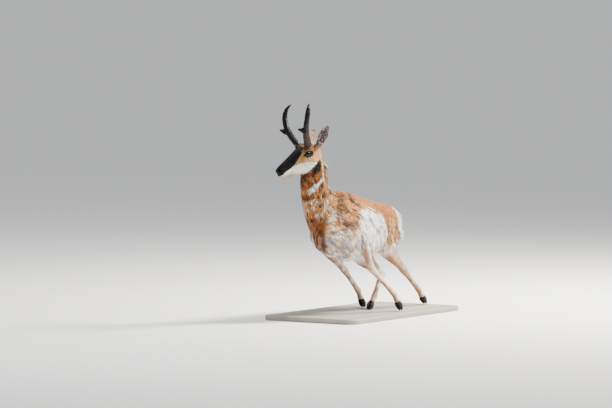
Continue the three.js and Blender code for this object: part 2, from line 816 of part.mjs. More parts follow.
// One claw of a cloven hoof, from the end of the pastern to the toe
function claw(leg, place) {
  const joints = legJoints(leg);
  const [top, toe] = [joints[4], joints[5]];
  const along = toe.clone().sub(top).normalize();
  const left = new THREE.Vector3(1, 0, 0);
  left.addScaledVector(along, -left.dot(along)).normalize();
  const ahead = new THREE.Vector3().crossVectors(left, along).normalize();
  if (ahead.y > 0 || (Math.abs(ahead.y) < 0.2 && ahead.z < 0)) ahead.negate();
  const rows = [
    [0.01, 15, 17, 8.2, 9.4],
    [0.25, 16, 20, 9.2, 10.6],
    [0.55, 13, 21, 9.4, 11],
    [0.8, 8, 17, 7.6, 10],
    [0.97, 3, 9, 4.6, 8],
    [1.04, 1, 3, 2, 7],
  ];
  return loft(
    rows.map(([share, fore, aft, half, away]) =>
      Array.from({ length: 8 }, (_, i) => {
        const [x, y] = eggPoint((i / 8) * 2 * Math.PI, half, fore, aft, 0.8);
        return top
          .clone()
          .addScaledVector(along, HOOF * share)
          .addScaledVector(left, x + place * away)
          .addScaledVector(ahead, y);
      }),
    ),
  );
}

// Base: a plain board with softened corners and edges

const BASE_LENGTH = 1240;
const BASE_WIDTH = 640;
const BASE_MIDDLE = [50, 232];

function baseSolid() {
  const [halfX, halfY, corner, bevel] = [BASE_WIDTH / 2 - 4, BASE_LENGTH / 2 - 4, 60, 4];
  const outline = new THREE.Shape();
  outline.moveTo(-halfX + corner, -halfY);
  outline.lineTo(halfX - corner, -halfY);
  outline.absarc(halfX - corner, -halfY + corner, corner, -Math.PI / 2, 0, false);
  outline.lineTo(halfX, halfY - corner);
  outline.absarc(halfX - corner, halfY - corner, corner, 0, Math.PI / 2, false);
  outline.lineTo(-halfX + corner, halfY);
  outline.absarc(-halfX + corner, halfY - corner, corner, Math.PI / 2, Math.PI, false);
  outline.lineTo(-halfX, -halfY + corner);
  outline.absarc(-halfX + corner, -halfY + corner, corner, Math.PI, 1.5 * Math.PI, false);
  const geometry = new THREE.ExtrudeGeometry(outline, {
    depth: BASE_THICKNESS - GAP - 2 * bevel,
    bevelEnabled: true,
    bevelThickness: bevel,
    bevelSize: bevel,
    bevelSegments: 1,
    curveSegments: 6,
  });
  geometry.translate(BASE_MIDDLE[0], BASE_MIDDLE[1], bevel);
  return solidOf(geometry);
}

// Assembly

const part = new THREE.Group();

function add(name, solid, colour, roughness) {
  const material = new THREE.MeshStandardMaterial({ color: COLOURS[colour], roughness, metalness: 0 });
  const mesh = new THREE.Mesh(geometryOf(solid), material);
  mesh.name = name;
  part.add(mesh);
}

const floorBlock = solidOf(new THREE.BoxGeometry(3000, 3000, 400).translate(0, 0, BASE_THICKNESS - 200));

const trunkForms = [trunkLoft(), ...LEGS.flatMap(limbMasses)];
const neckForms = [neckLoft()];
const trunkCutter = cutterOf(trunkForms, trunkLocks());
const neckCutter = cutterOf(neckForms, maneLocks());
const headCutter = cutterOf(headForms());
const trunk = join(...trunkForms, ...trunkLocks().map((spec) => lock(spec)));
const neck = join(...neckForms, ...maneLocks().map((spec) => lock(spec)));

add("torso", largest(trunk), "tan", 0.85);
add("neck", largest(neck.subtract(trunkCutter).subtract(headCutter)), "tan", 0.85);
add("head", largest(headSolid()), "mask", 0.8);
add("tail", largest(tailSolid().subtract(trunkCutter)), "white", 0.85);

for (const [word, side] of [["left", 1], ["right", -1]]) {
  add(`eye_${word}`, eyeSolid(side), "eye", 0.15);
  add(`horn_${word}`, largest(hornSolid(side).subtract(headCutter)), "horn", 0.55);
  add(`ear_${word}`, largest(earSolid(side).subtract(headCutter).subtract(neckCutter)), "tan", 0.85);
}

for (const leg of LEGS) {
  const limb = limbLoft(leg);
  add(leg.name, largest(limb.subtract(trunkCutter)), "white", 0.85);
  for (const [word, place] of [["outer", leg.side], ["inner", -leg.side]]) {
    const hoof = claw(leg, place).subtract(floorBlock).subtract(cutterOf([limb]));
    add(`hoof_${leg.name}_${word}`, largest(hoof), "hoof", 0.5);
  }
}

add("stand_base", baseSolid(), "base", 0.7);

// The origin is the middle of the underside of the whole model
const box = new THREE.Box3().setFromObject(part);
part.position.set(-(box.min.x + box.max.x) / 2, -(box.min.y + box.max.y) / 2, -box.min.z);

export default part;
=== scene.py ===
# A life-size pronghorn buck at a run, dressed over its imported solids. Metres, in the frame of the CAD.
# Places on the animal are written in millimetres in two frames of its own, as [left, back, up]: the
# trunk's, from the top of the withers, and the head's, from the middle between the eyes.
import math

import bmesh
import bpy
import numpy as np
import openvdb as vdb
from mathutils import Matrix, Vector
from mathutils.bvhtree import BVHTree


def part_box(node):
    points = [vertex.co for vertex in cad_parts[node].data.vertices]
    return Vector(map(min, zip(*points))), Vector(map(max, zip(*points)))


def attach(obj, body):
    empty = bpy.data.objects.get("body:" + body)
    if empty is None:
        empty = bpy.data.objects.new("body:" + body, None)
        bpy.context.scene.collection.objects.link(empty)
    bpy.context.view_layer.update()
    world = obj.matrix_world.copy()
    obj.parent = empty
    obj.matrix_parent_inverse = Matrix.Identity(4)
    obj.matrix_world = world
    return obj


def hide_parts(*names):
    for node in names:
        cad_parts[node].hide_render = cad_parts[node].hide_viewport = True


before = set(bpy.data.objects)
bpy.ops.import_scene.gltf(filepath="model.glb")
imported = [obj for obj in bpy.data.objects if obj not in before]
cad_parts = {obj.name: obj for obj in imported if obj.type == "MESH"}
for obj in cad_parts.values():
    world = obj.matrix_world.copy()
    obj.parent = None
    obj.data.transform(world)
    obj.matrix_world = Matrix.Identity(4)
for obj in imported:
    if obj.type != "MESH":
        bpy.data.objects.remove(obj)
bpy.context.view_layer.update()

MM = 0.001
random = np.random.default_rng(29)

# Pose, as the solids have it, in degrees
TRUNK_PITCH = 11
TRUNK_ROLL = 9
HEAD_HEADING = 25
HEAD_DOWN = 28
HEAD_ROLL = 3
EYES_FROM_WITHERS = np.array([-24, -310, 223])
TOE_HEIGHT = 4
EYE = np.array([40, 2, 2])
EYE_RADIUS = 23

# Camera
CAMERA_AZIMUTH = 33
CAMERA_ELEVATION = 3
CAMERA_DISTANCE = 20.06
CAMERA_LENS = 200
AIM_LEFT_OF_WITHERS = 0.174
AIM_BELOW_WITHERS = 0.077

# Coat, in millimetres
BODY_COAT = 7
SHORT_COAT = 1.5
EAR_PLUMPING = 0.3
TAIL_COAT = 3
TUFTS_AT_MOST = 132000
TUFTS_IN_A_PIECE = 18500
LOCKS_AT_MOST = 6000
LASHES = 44

# Skin, in millimetres
FORM_VOXEL = 3.4
SKIN_VOXEL = 2.3
LOCK_HALF_THICKNESS = 9
CREASE_FILL = 15
SEAM_FILL = 2.2
SKIN_TRIANGLES = 165000

FLESH = [
    "torso", "neck", "head", "tail", "ear_left", "ear_right",
    "foreleg_left", "foreleg_right", "hindleg_left", "hindleg_right",
]
TORSO, NECK, HEAD, TAIL, EARS, LEGS = 0, 1, 2, 3, (4, 5), (6, 7, 8, 9)
SIDES = (("left", 1), ("right", -1))


# Numbers

def turn(axis, degrees):
    c, s = math.cos(math.radians(degrees)), math.sin(math.radians(degrees))
    rows = {
        "x": [[1, 0, 0], [0, c, -s], [0, s, c]],
        "y": [[c, 0, s], [0, 1, 0], [-s, 0, c]],
        "z": [[c, -s, 0], [s, c, 0], [0, 0, 1]],
    }
    return np.array(rows[axis])


def unit(vectors):
    return vectors / np.maximum(np.linalg.norm(vectors, axis=-1, keepdims=True), 1e-9)


def flat_on(ways, normals):
    """The ways, turned to lie square to the normals"""
    return unit(ways - normals * np.sum(ways * normals, axis=1, keepdims=True))


def step(low, high, values):
    """From 0 to 1, eased, as the values go from low to high"""
    t = np.clip((values - low) / (high - low), 0, 1)
    return t * t * (3 - 2 * t)


def between(low, high, soft, values):
    return step(low - soft, low + soft, values) * (1 - step(high - soft, high + soft, values))


def hill(values, middle, width):
    return np.exp(-(((values - middle) / width) ** 2))


def noise(points, size, seed=0):
    """Smooth noise from -1 to 1, whose bumps are about size across"""
    cell = np.asarray(points, float) / size + 17.31 * (seed + 1)
    low = np.floor(cell).astype(np.int64)
    ease = cell - low
    ease = ease * ease * (3 - 2 * ease)
    total = np.zeros(len(cell))
    for corner in range(8):
        ahead = np.array([(corner >> k) & 1 for k in range(3)])
        key = (low + ahead) @ np.array([73856093, 19349663, 83492791])
        key = (key ^ (key >> 13)) * 1274126177 & 0x7FFFFFFF
        value = key / 0x3FFFFFFF - 1
        total += value * np.prod(np.where(ahead, ease, 1 - ease), axis=1)
    return total


def linear(hexadecimal):
    """A colour written as in a style sheet, as linear red, green and blue"""
    parts = np.array([int(hexadecimal[i:i + 2], 16) for i in (0, 2, 4)]) / 255
    return np.where(parts < 0.04045, parts / 12.92, ((parts + 0.055) / 1.055) ** 2.4)


# Frames of the trunk and the head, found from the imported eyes

TRUNK_TURN = turn("x", -TRUNK_PITCH) @ turn("y", -TRUNK_ROLL)
HEAD_TURN = turn("z", -HEAD_HEADING) @ turn("x", HEAD_DOWN) @ turn("y", -HEAD_ROLL)


def box_middle(node):
    low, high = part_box(node)
    return (np.array(low) + np.array(high)) / 2


EYES_MIDDLE = (box_middle("eye_left") + box_middle("eye_right")) / 2
HEAD_ORIGIN = EYES_MIDDLE - HEAD_TURN @ (np.array([0, EYE[1], EYE[2]]) * MM)
WITHERS = HEAD_ORIGIN - EYES_FROM_WITHERS * MM
BASE_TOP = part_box("stand_base")[1][2]


def in_trunk(points):
    return (points - WITHERS) @ TRUNK_TURN / MM


def in_head(points):
    return (points - HEAD_ORIGIN) @ HEAD_TURN / MM


def from_trunk(places):
    return WITHERS + np.asarray(places, float) * MM @ TRUNK_TURN.T


def from_head(places):
    return HEAD_ORIGIN + np.asarray(places, float) * MM @ HEAD_TURN.T


# The body's lines. The rows give, along the trunk, the top, the widest level, the bottom and the half width.

TRUNK_ROWS = np.array([
    [-200, -262, -292, -322, 20], [-150, -140, -283, -388, 82], [-90, -62, -266, -400, 106],
    [-20, -2, -250, -406, 126], [60, 8, -232, -404, 142], [170, 4, -216, -390, 158],
    [280, -4, -200, -364, 160], [380, -6, -178, -326, 146], [460, -4, -150, -288, 128],
    [530, -10, -128, -262, 110], [620, -66, -134, -222, 62], [660, -110, -146, -190, 30],
])
NECK_LINE = np.array([
    [6, 10, -235], [-10, -110, -160], [-22, -172, -45], [-14, -222, 70], [0, -246, 175], [4, -262, 240],
])
NECK_HALF = np.array([156, 118, 92, 80, 70, 56])
TAIL_ROOT, TAIL_TIP = np.array([0, 598, -62]), np.array([0, 664, -132])
EAR_BASE = np.array([54, 94, 16])
EAR_REACHES = {1: np.array([42, 86, 78]), -1: np.array([52, 98, 48])}
HORN_BASE = np.array([54, 24, 51])
HORN_LINE = np.array([
    [0, 0, -16], [4, 2, 6], [28, 2, 52], [56, 12, 108], [76, 40, 164], [70, 74, 202], [46, 106, 218],
])

BONES = {"fore": [170, 220, 235, 52, 60], "hind": [215, 260, 250, 52, 60]}
LIMBS = {
    "foreleg_left": (1, "fore", [90, -84, -258], [80, 16, 40, 27], [9, 9, 14, 8]),
    "foreleg_right": (-1, "fore", [86, -132, -268], [59, 51, 54, 27], [1, 4, -4, 2]),
    "hindleg_left": (1, "hind", [86, 508, -122], [-50, 55, 48, 38], [8, 2, -3, 3]),
    "hindleg_right": (-1, "hind", [86, 508, -122], [-38, 60, -49, -50], [0, 8, 18, 6]),
}


def bone_pointing(swing, lean):
    a, b = math.radians(swing), math.radians(lean)
    return np.array([math.sin(b), math.sin(a) * math.cos(b), -math.cos(a) * math.cos(b)])


def leg_joints(name):
    """A leg's joints from its root to its toe. The cannon's swing brings the toe to the base."""
    side, kind, (out, back, up), swings, leans = LIMBS[name]
    lengths = BONES[kind]
    bones = [bone_pointing(swings[min(i, 3)], leans[min(i, 3)]) * lengths[i] * MM for i in range(5)]
    root = from_trunk([side * out, back, up])
    drop = root[2] - BASE_TOP - TOE_HEIGHT * MM + sum(bones[i][2] for i in (0, 1, 3, 4))
    swing = math.acos(min(drop / (lengths[2] * MM * math.cos(math.radians(leans[2]))), 1))
    bones[2] = bone_pointing(math.copysign(math.degrees(swing), swings[2]), leans[2]) * lengths[2] * MM
    return np.vstack([root, root + np.cumsum(bones, axis=0)])


def along_chain(points, chain):
    """Where each point lies on a chain of joints: its place in bones, the nearest point and the way on"""
    best = np.full(len(points), np.inf)
    place, nearest, way = np.zeros(len(points)), np.zeros_like(points), np.zeros_like(points)
    for k in range(len(chain) - 1):
        bone = chain[k + 1] - chain[k]
        share = np.clip((points - chain[k]) @ bone / (bone @ bone), 0, 1)
        at = chain[k] + share[:, None] * bone
        far = np.linalg.norm(points - at, axis=1)
        closer = far < best
        best[closer] = far[closer]
        place[closer] = k + share[closer]
        nearest[closer] = at[closer]
        way[closer] = bone / np.linalg.norm(bone)
    return place, nearest, way, best


NECK_CHAIN = WITHERS + NECK_LINE * MM
LEG_CHAINS = {name: leg_joints(name) for name in LIMBS}


# Meshes as arrays

def node_polygons(names):
    points, faces, owners, count = [], [], [], 0
    for number, name in enumerate(names):
        here, _, corners = mesh_arrays(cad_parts[name].data)
        points.append(here)
        faces.append(corners + count)
        owners.append(np.full(len(corners), number))
        count += len(here)
    return np.vstack(points), np.vstack(faces), np.concatenate(owners)


def level(surface, voxel, outward, band=7):
    """The surface moved outward by a distance, on a grid of voxels, all in millimetres"""
    points, triangles, quads = surface
    grid = vdb.FloatGrid.createLevelSetFromPolygons(
        points.astype(np.float32), triangles=triangles.astype(np.uint32), quads=quads.astype(np.uint32),
        transform=vdb.createLinearTransform(voxelSize=voxel * MM), halfWidth=band,
    )
    return grid.convertToPolygons(isovalue=outward * MM, adaptivity=0.0)


def together(*surfaces):
    points, triangles, quads, count = [], [], [], 0
    for there, threes, fours in surfaces:
        points.append(there)
        triangles.append(threes + np.uint32(count))
        quads.append(fours + np.uint32(count))
        count += len(there)
    return np.vstack(points), np.vstack(triangles), np.vstack(quads)


def solid_surface(names):
    points, triangles, _ = node_polygons(names)
    return points, triangles.astype(np.uint32), np.zeros((0, 4), np.uint32)


def facing_out(points, quads):
    """The faces, turned round if they enclose a negative volume"""
    a, b, c, d = (points[quads[:, k]] for k in range(4))
    volume = np.einsum("ij,ij->i", a, np.cross(b, c) + np.cross(c, d)).sum()
    return quads if volume > 0 else quads[:, ::-1]


def edges_of(faces):
    pairs = np.vstack([faces[:, [k, (k + 1) % faces.shape[1]]] for k in range(faces.shape[1])])
    pairs = np.sort(pairs, axis=1).astype(np.int64)
    keys = np.unique(pairs[:, 0] * (pairs.max() + 1) + pairs[:, 1])
    return keys // (pairs.max() + 1), keys % (pairs.max() + 1)


def neighbour_mean(values, edges, degree):
    a, b = edges
    out = np.empty_like(values)
    for k in range(values.shape[1]):
        total = np.bincount(a, values[b, k], len(values)) + np.bincount(b, values[a, k], len(values))
        out[:, k] = total / degree
    return out


def smoothed(values, edges, rounds, weight=1.0, shrink=True):
    """Values at the points of a mesh after rounds of averaging with their neighbours"""
    degree = np.maximum(np.bincount(np.concatenate(edges), minlength=len(values)), 1)
    values = np.array(values, float)
    weight = np.broadcast_to(np.asarray(weight, float), len(values))[:, None]
    for _ in range(rounds):
        values += 0.5 * weight * (neighbour_mean(values, edges, degree) - values)
        if not shrink:
            values -= 0.53 * weight * (neighbour_mean(values, edges, degree) - values)
    return values


def new_piece(name, points, corners, starts, colours=None, uv=None):
    """A mesh object from arrays, with a colour at each point and a bake map at each corner"""
    mesh = bpy.data.meshes.new(name)
    mesh.vertices.add(len(points))
    mesh.vertices.foreach_set("co", np.asarray(points, np.float32).ravel())
    mesh.loops.add(len(corners))
    mesh.loops.foreach_set("vertex_index", np.asarray(corners, np.int32))
    mesh.polygons.add(len(starts))
    mesh.polygons.foreach_set("loop_start", np.asarray(starts, np.int32))
    mesh.update(calc_edges=True)
    mesh.shade_smooth()
    if uv is not None:
        mesh.uv_layers.new(name="OFBake").data.foreach_set("uv", np.asarray(uv, np.float32).ravel())
    if colours is not None:
        paint = mesh.color_attributes.new("coat", "FLOAT_COLOR", "POINT")
        rgba = np.ones((len(points), 4), np.float32)
        rgba[:, :3] = np.clip(colours, 0.002, 1)
        paint.data.foreach_set("color", rgba.ravel())
    piece = bpy.data.objects.new(name, mesh)
    bpy.context.scene.collection.objects.link(piece)
    return piece


def mesh_arrays(mesh):
    points = np.empty(len(mesh.vertices) * 3)
    mesh.vertices.foreach_get("co", points)
    normals = np.empty(len(mesh.vertices) * 3)
    mesh.vertices.foreach_get("normal", normals)
    mesh.calc_loop_triangles()
    corners = np.empty(len(mesh.loop_triangles) * 3, np.int32)
    mesh.loop_triangles.foreach_get("vertices", corners)
    return points.reshape(-1, 3), normals.reshape(-1, 3), corners.reshape(-1, 3)


def thinned(points, quads, ratio, keep):
    """The surface with fewer triangles, thinned least where keep is 1"""
    piece = new_piece("thinning", points, quads.ravel(), np.arange(len(quads)) * 4)
    group = piece.vertex_groups.new(name="keep")
    for weight in np.unique(np.round(keep, 1)):
        chosen = np.nonzero(np.round(keep, 1) == weight)[0]
        group.add(chosen.tolist(), float(weight), "REPLACE")
    thin = piece.modifiers.new("thin", "DECIMATE")
    thin.ratio = ratio
    thin.vertex_group = "keep"
    thin.invert_vertex_group = True
    thin.vertex_group_factor = 4
    made = bpy.data.meshes.new_from_object(piece.evaluated_get(bpy.context.evaluated_depsgraph_get()))
    points, _, triangles = mesh_arrays(made)
    bpy.data.objects.remove(piece)
    return points, triangles


# Skin

def body_form():
    """The flesh without the solids' locks and the creases between its masses"""
    whole = level(solid_surface(FLESH[:4] + FLESH[6:]), FORM_VOXEL, 1.5)
    whole = level(whole, FORM_VOXEL, -1.5 - LOCK_HALF_THICKNESS)
    whole = level(whole, FORM_VOXEL, LOCK_HALF_THICKNESS + CREASE_FILL - BODY_COAT)
    return level(whole, FORM_VOXEL, -CREASE_FILL)


# The solids that keep their own form, with their grid and how far inside them the skin lies
CLOSE_PARTS = [
    (["head", "eye_left", "eye_right"], SKIN_VOXEL, SHORT_COAT),
    ([FLESH[k] for k in LEGS], SKIN_VOXEL, SHORT_COAT),
    ([FLESH[k] for k in EARS], SKIN_VOXEL / 1.5, -EAR_PLUMPING),
    ([FLESH[TAIL]], SKIN_VOXEL, TAIL_COAT),
]


def skin_surface():
    """The skin over all the flesh, closed at its seams"""
    parts = [level(solid_surface(names), voxel, -inside) for names, voxel, inside in CLOSE_PARTS]
    flesh = level(together(body_form(), *parts), SKIN_VOXEL, SEAM_FILL)
    points, _, quads = level(flesh, SKIN_VOXEL, -SEAM_FILL)
    return points.astype(float), facing_out(points, quads)


def owners_of(points):
    """The number in FLESH of the solid that each point is nearest to"""
    there, faces, owners = node_polygons(FLESH)
    tree = BVHTree.FromPolygons([Vector(p) for p in there.tolist()], faces.tolist())
    return np.array([owners[tree.find_nearest(p)[2]] for p in points.tolist()])


def nearby_legs(region):
    return np.isin(region, LEGS)


def eye_axes(side):
    """The ways an eye looks, towards its rear corner, and up across it"""
    axis = unit(np.array([side, -0.26, 0.10]))
    slant = np.array([0, 1, -0.2])
    along = unit(slant - axis * (slant @ axis))
    above = np.cross(axis, along)
    return axis, along, above * np.sign(above[2])


def lid_line(across):
    """How far a lid's edge stands off the eye's middle line, at places from -1 to 1 across the eye"""
    return np.clip(1 - (np.abs(across + 0.03) / 0.96) ** 2.4, 0, 1) ** 0.75


def sculpt_head(points, normals, region):
    """Lids, nostrils, mouth and cheek forms, as moves of the points near them"""
    p = in_head(points)
    moved = p.copy()
    outward = normals @ HEAD_TURN
    face = region == HEAD
    left, back, up = p.T

    # Bones and muscles of the cheek, the brow and the nose
    arch = hill(up, -20 - 0.10 * back, 7) * between(-60, 62, 14, back) * step(22, 40, np.abs(left))
    jaw = hill(up, -60, 26) * hill(back, 34, 34) * step(24, 42, np.abs(left))
    hollow = hill(up, -38, 12) * hill(back, -92, 30) * step(14, 28, np.abs(left))
    brow = hill(up, 27, 7) * hill(back, -4, 22) * step(34, 46, np.abs(left))
    bridge = hill(left, 0, 13) * between(-165, -50, 20, back) * step(10, 24, up)
    moved += outward * (face * (1.8 * arch + 2.2 * jaw - 1.6 * hollow + 2.4 * brow + 0.8 * bridge))[:, None]

    for side in (1, -1):
        centre = EYE * [side, 1, 1]
        axis, along, above = eye_axes(side)
        reach = moved - centre
        far = np.linalg.norm(reach, axis=1)
        way = reach / np.maximum(far, 1e-6)[:, None]
        x, y, z = way @ along, way @ above, way @ axis
        opening = np.where(y > 0, 0.60, 0.56) * lid_line(x)
        rim = np.abs(y) - opening
        near = (z > 0.05) & (far < EYE_RADIUS + 26) & face
        lid = EYE_RADIUS + 1.5 + 1.3 * hill(rim, 0.07, 0.06)
        covered = np.maximum(far, lid)
        blend = step(0.02, -0.16, rim) * step(0.0, 0.3, z)
        wanted = covered * (1 - blend) + (EYE_RADIUS - 5) * blend
        crease = 1.6 * hill(rim, 0.27, 0.07) * step(0, 0.25, y) * step(0.2, 0.5, z)
        fade = 1 - step(12, 26, far - EYE_RADIUS)
        moved[near] += (way * ((wanted - far - crease) * fade)[:, None])[near]

        nostril = np.array([side * 20, -197, 2])
        d = (moved - nostril) * [side, 1, 1]
        curl = d[:, 2] + 0.45 * d[:, 1] - 0.03 * d[:, 1] ** 2
        slit = np.sqrt((d[:, 1] / 11.5) ** 2 + (curl / 5.4) ** 2 + (d[:, 0] / 11) ** 2)
        depth = -7.5 * (1 - step(0.45, 1.05, slit)) + 2.2 * hill(slit, 1.35, 0.28)
        moved[face] += (outward * depth[:, None])[face]

    # The line of the mouth, with a lip above and below
    front, corner = -209, -124
    share = np.clip((back - front) / (corner - front), 0, 1) ** (1 / 1.6)
    height = -33 - 14 * share + 3 * np.sin(math.pi * share)
    off = up - height
    within = face * (1 - step(corner - 4, corner + 6, back))
    line = -2.6 * hill(off, 0, 1.7) + 1.3 * hill(off, 5.5, 4) + 1.1 * hill(off, -5.5, 4)
    moved += outward * (within * line)[:, None]
    return from_head(moved)


FORMS = [
    # Swellings and hollows of the trunk's sides: [back, up], size along and across, height
    ((66, -150), (34, 95), -5.0),
    ((-10, -70), (26, 100), 3.0),
    ((395, -150), (40, 85), -6.5),
    ((470, -90), (60, 70), 3.0),
    ((190, -60), (160, 34), 2.2),
]


def sculpt_body(points, normals, region):
    left, back, up = in_trunk(points).T
    trunk = smooth_mask(region == TORSO)
    height = np.zeros(len(points))
    for (at_back, at_up), (long, tall), rise in FORMS:
        height += rise * hill(back, at_back, long) * hill(up, at_up, tall)
    ribs = between(110, 360, 30, back) * between(-280, -90, 40, up)
    height += 1.1 * ribs * np.sin((back + 0.35 * up) / 27 * 2 * math.pi)
    spine = hill(left, 0, 14) * between(60, 520, 40, back) * step(-60, -20, up)
    height += 2.0 * spine
    height += 1.4 * noise(points / MM, 55, 3) + 0.7 * noise(points / MM, 21, 4)
    points = points + normals * (trunk * height * MM)[:, None]
    return fuller_thighs(points, normals, region)


def leg_front(way):
    """The way out of a leg's front, square to the way down it"""
    ahead = np.cross(way, np.array([1.0, 0, 0]))
    return unit(ahead * np.sign(-ahead[:, 1:2] - 1e-9))


def fuller_thighs(points, normals, region):
    """The hamstrings' mass behind each gaskin"""
    out = points.copy()
    for k in LEGS[2:]:
        place, nearest, way, _ = along_chain(points, LEG_CHAINS[FLESH[k]])
        behind = -np.sum(unit(points - nearest) * leg_front(way), axis=1)
        amount = 11 * hill(place, 1.28, 0.26) * step(0.1, 0.8, behind) * np.isin(region, [k, TORSO])
        out += normals * (amount * MM)[:, None]
    return out


def smooth_mask(chosen):
    return smoothed(chosen[:, None].astype(float), SKIN_EDGES, 14)[:, 0]


def refined(points, triangles, near):
    """The mesh with each edge near the given points' mask halved once"""
    piece = new_piece("refining", points, triangles.ravel(), np.arange(len(triangles)) * 3)
    work = bmesh.new()
    work.from_mesh(piece.data)
    work.verts.ensure_lookup_table()
    chosen = [e for e in work.edges if near[e.verts[0].index] and near[e.verts[1].index]]
    bmesh.ops.subdivide_edges(work, edges=chosen, cuts=1, use_grid_fill=True)
    bmesh.ops.triangulate(work, faces=[f for f in work.faces if len(f.verts) > 3])
    work.to_mesh(piece.data)
    work.free()
    points, _, triangles = mesh_arrays(piece.data)
    bpy.data.objects.remove(piece)
    return points, triangles


def normals_of(points, triangles):
    a, b, c = (points[triangles[:, k]] for k in range(3))
    faces = np.cross(b - a, c - a)
    total = np.zeros_like(points)
    for corner in range(3):
        for k in range(3):
            total[:, k] += np.bincount(triangles[:, corner], faces[:, k], len(points))
    return unit(total)


def make_skin():
    points, quads = skin_surface()
    edges = edges_of(quads)
    p, at = in_head(points), in_trunk(points)
    fine = np.zeros(len(points))
    head_zone = (p[:, 1] < 150) & (p[:, 2] > -135) & (p[:, 1] > -260) & (np.abs(p[:, 0]) < 160)
    for chain in LEG_CHAINS.values():
        place, _, _, far = along_chain(points, chain)
        fine = np.maximum(fine, 0.6 * (place > 1.25) * (far < 0.07))
    fine = np.where(head_zone & (at[:, 1] < -60), 1.0, fine)
    fine = smoothed(fine[:, None], edges, 12)[:, 0]
    points = smoothed(points, edges, 26, np.clip(1 - 1.25 * fine, 0, 1), shrink=False)
    points = smoothed(points, edges, 3, 0.7, shrink=False)
    ratio = SKIN_TRIANGLES / (2 * len(quads))
    points, triangles = thinned(points, quads, ratio, fine)
    p = in_head(points)
    near = np.zeros(len(points), bool)
    for side in (1, -1):
        near |= np.linalg.norm(p - EYE * [side, 1, 1], axis=1) < EYE_RADIUS + 14
    near |= (p[:, 1] < -112) & (p[:, 1] > -230) & (np.abs(p[:, 0]) < 60) & (p[:, 2] < 40)
    return refined(points, triangles, near)


SKIN_POINTS, SKIN_TRIANGLES_MADE = make_skin()
SKIN_EDGES = edges_of(SKIN_TRIANGLES_MADE)
SKIN_REGION = owners_of(SKIN_POINTS)
SKIN_POINTS = sculpt_body(SKIN_POINTS, normals_of(SKIN_POINTS, SKIN_TRIANGLES_MADE), SKIN_REGION)
SKIN_POINTS = sculpt_head(SKIN_POINTS, normals_of(SKIN_POINTS, SKIN_TRIANGLES_MADE), SKIN_REGION)
SKIN_NORMALS = normals_of(SKIN_POINTS, SKIN_TRIANGLES_MADE)


# Where each point lies on the animal

class Places:
    """The places of points on the trunk, the neck, the head and the legs"""

    def __init__(self, points, normals, region):
        self.points, self.normals, self.region = points, normals, region
        self.trunk = in_trunk(points)
        left, back, up = self.trunk.T
        top, middle, bottom, half = (np.interp(back, TRUNK_ROWS[:, 0], row) for row in TRUNK_ROWS.T[1:])
        tall = np.where(up > middle, top - middle, middle - bottom)
        self.high = (up - middle) / np.maximum(tall, 20)
        self.round = np.arctan2(self.high, left / half)
        trunk_radius = np.hypot(self.high, left / half)
        self.head = in_head(points)
        place, nearest, way, far = along_chain(points, NECK_CHAIN)
        self.neck = place / (len(NECK_CHAIN) - 1)
        self.neck_way = way
        off = unit(points - nearest)
        share = np.clip(self.neck, 0, 1)[:, None]
        heading = math.radians(-HEAD_HEADING) * share
        across = np.hstack([np.cos(heading), np.sin(heading), 0 * share])
        nape = np.cross(across, way)
        nape *= np.sign(nape[:, 1:2] + 1e-9)
        self.neck_round = np.arctan2(np.sum(off * nape, axis=1), np.sum(off * across, axis=1))
        neck_radius = far / MM / np.interp(self.neck, np.linspace(0, 1, 6), NECK_HALF)
        self.on_neck = step(-0.22, 0.22, trunk_radius - neck_radius) * (region != HEAD)
        self.on_neck = np.maximum(self.on_neck, step(0.02, 0.2, self.neck) * (region == NECK))
        self.on_neck *= self.neck < 0.999
        self.leg = np.zeros(len(points))
        self.leg_way = np.tile([0.0, 0.0, -1.0], (len(points), 1))
        self.leg_ahead = np.zeros(len(points))
        self.leg_outer = np.zeros(len(points))
        for k in LEGS:
            here = region == k
            if here.any():
                place, nearest, way, _ = along_chain(points[here], LEG_CHAINS[FLESH[k]])
                side = LIMBS[FLESH[k]][0]
                off = unit(points[here] - nearest)
                self.leg[here] = place
                self.leg_way[here] = way
                self.leg_ahead[here] = np.sum(off * leg_front(way), axis=1)
                self.leg_outer[here] = side * off[:, 0]
        self.ear = np.zeros(len(points))
        self.in_ear = np.zeros(len(points))
        for k, side in zip(EARS, (1, -1)):
            here = region == k
            reach = EAR_REACHES[side] * [side, 1, 1]
            if here.any():
                off = self.head[here] - EAR_BASE * [side, 1, 1]
                self.ear[here] = np.clip(off @ reach / (reach @ reach), 0, 1.05)
                opening = unit(np.array([side * 0.9, 0.35, 0.1]))
                opening = unit(opening - unit(reach) * (opening @ unit(reach)))
                facing = (normals[here] @ HEAD_TURN) @ opening
                from_axis = (off - self.ear[here, None] * reach) @ opening
                self.in_ear[here] = step(0.0, 0.5, facing) * (from_axis < 12)

    def mottle(self, size, seed, tall=1):
        """Noise in space, from -1 to 1. Where tall is less than 1 its bumps are drawn out upward."""
        return noise(self.points * [1, 1, tall] / MM, size, seed)

    def from_eye(self):
        """The way to each point from the eye on its side, in millimetres"""
        return np.abs(self.head) * [1, 0, 0] + self.head * [0, 1, 1] - EYE


# Colours of the coat

COLOURS = {
    name: linear(value) for name, value in {
        # The blue-grey of white hair in shade is a painted shade, laid over the white flank, chest, rump,
        # neck, legs and inner ears
        "tan": "b27236", "rust": "864a1c", "cream": "d9c09a", "white": "f7f4ef", "white_in_shade": "aea8b4",
        "brown": "432711", "mask": "090707", "grey": "766b62", "sand": "bb905c", "umber": "1d120b",
    }.items()
}


def mix(under, colour, amount):
    amount = np.clip(amount, 0, 1)[:, None]
    return under * (1 - amount) + (COLOURS[colour] if isinstance(colour, str) else colour) * amount


def painted(count, ground, layers):
    """A ground colour for a count of points, under layers of other colours, each with its amounts"""
    colour = np.tile(COLOURS[ground], (count, 1))
    for name, amount in layers:
        colour = mix(colour, name, amount)
    return colour


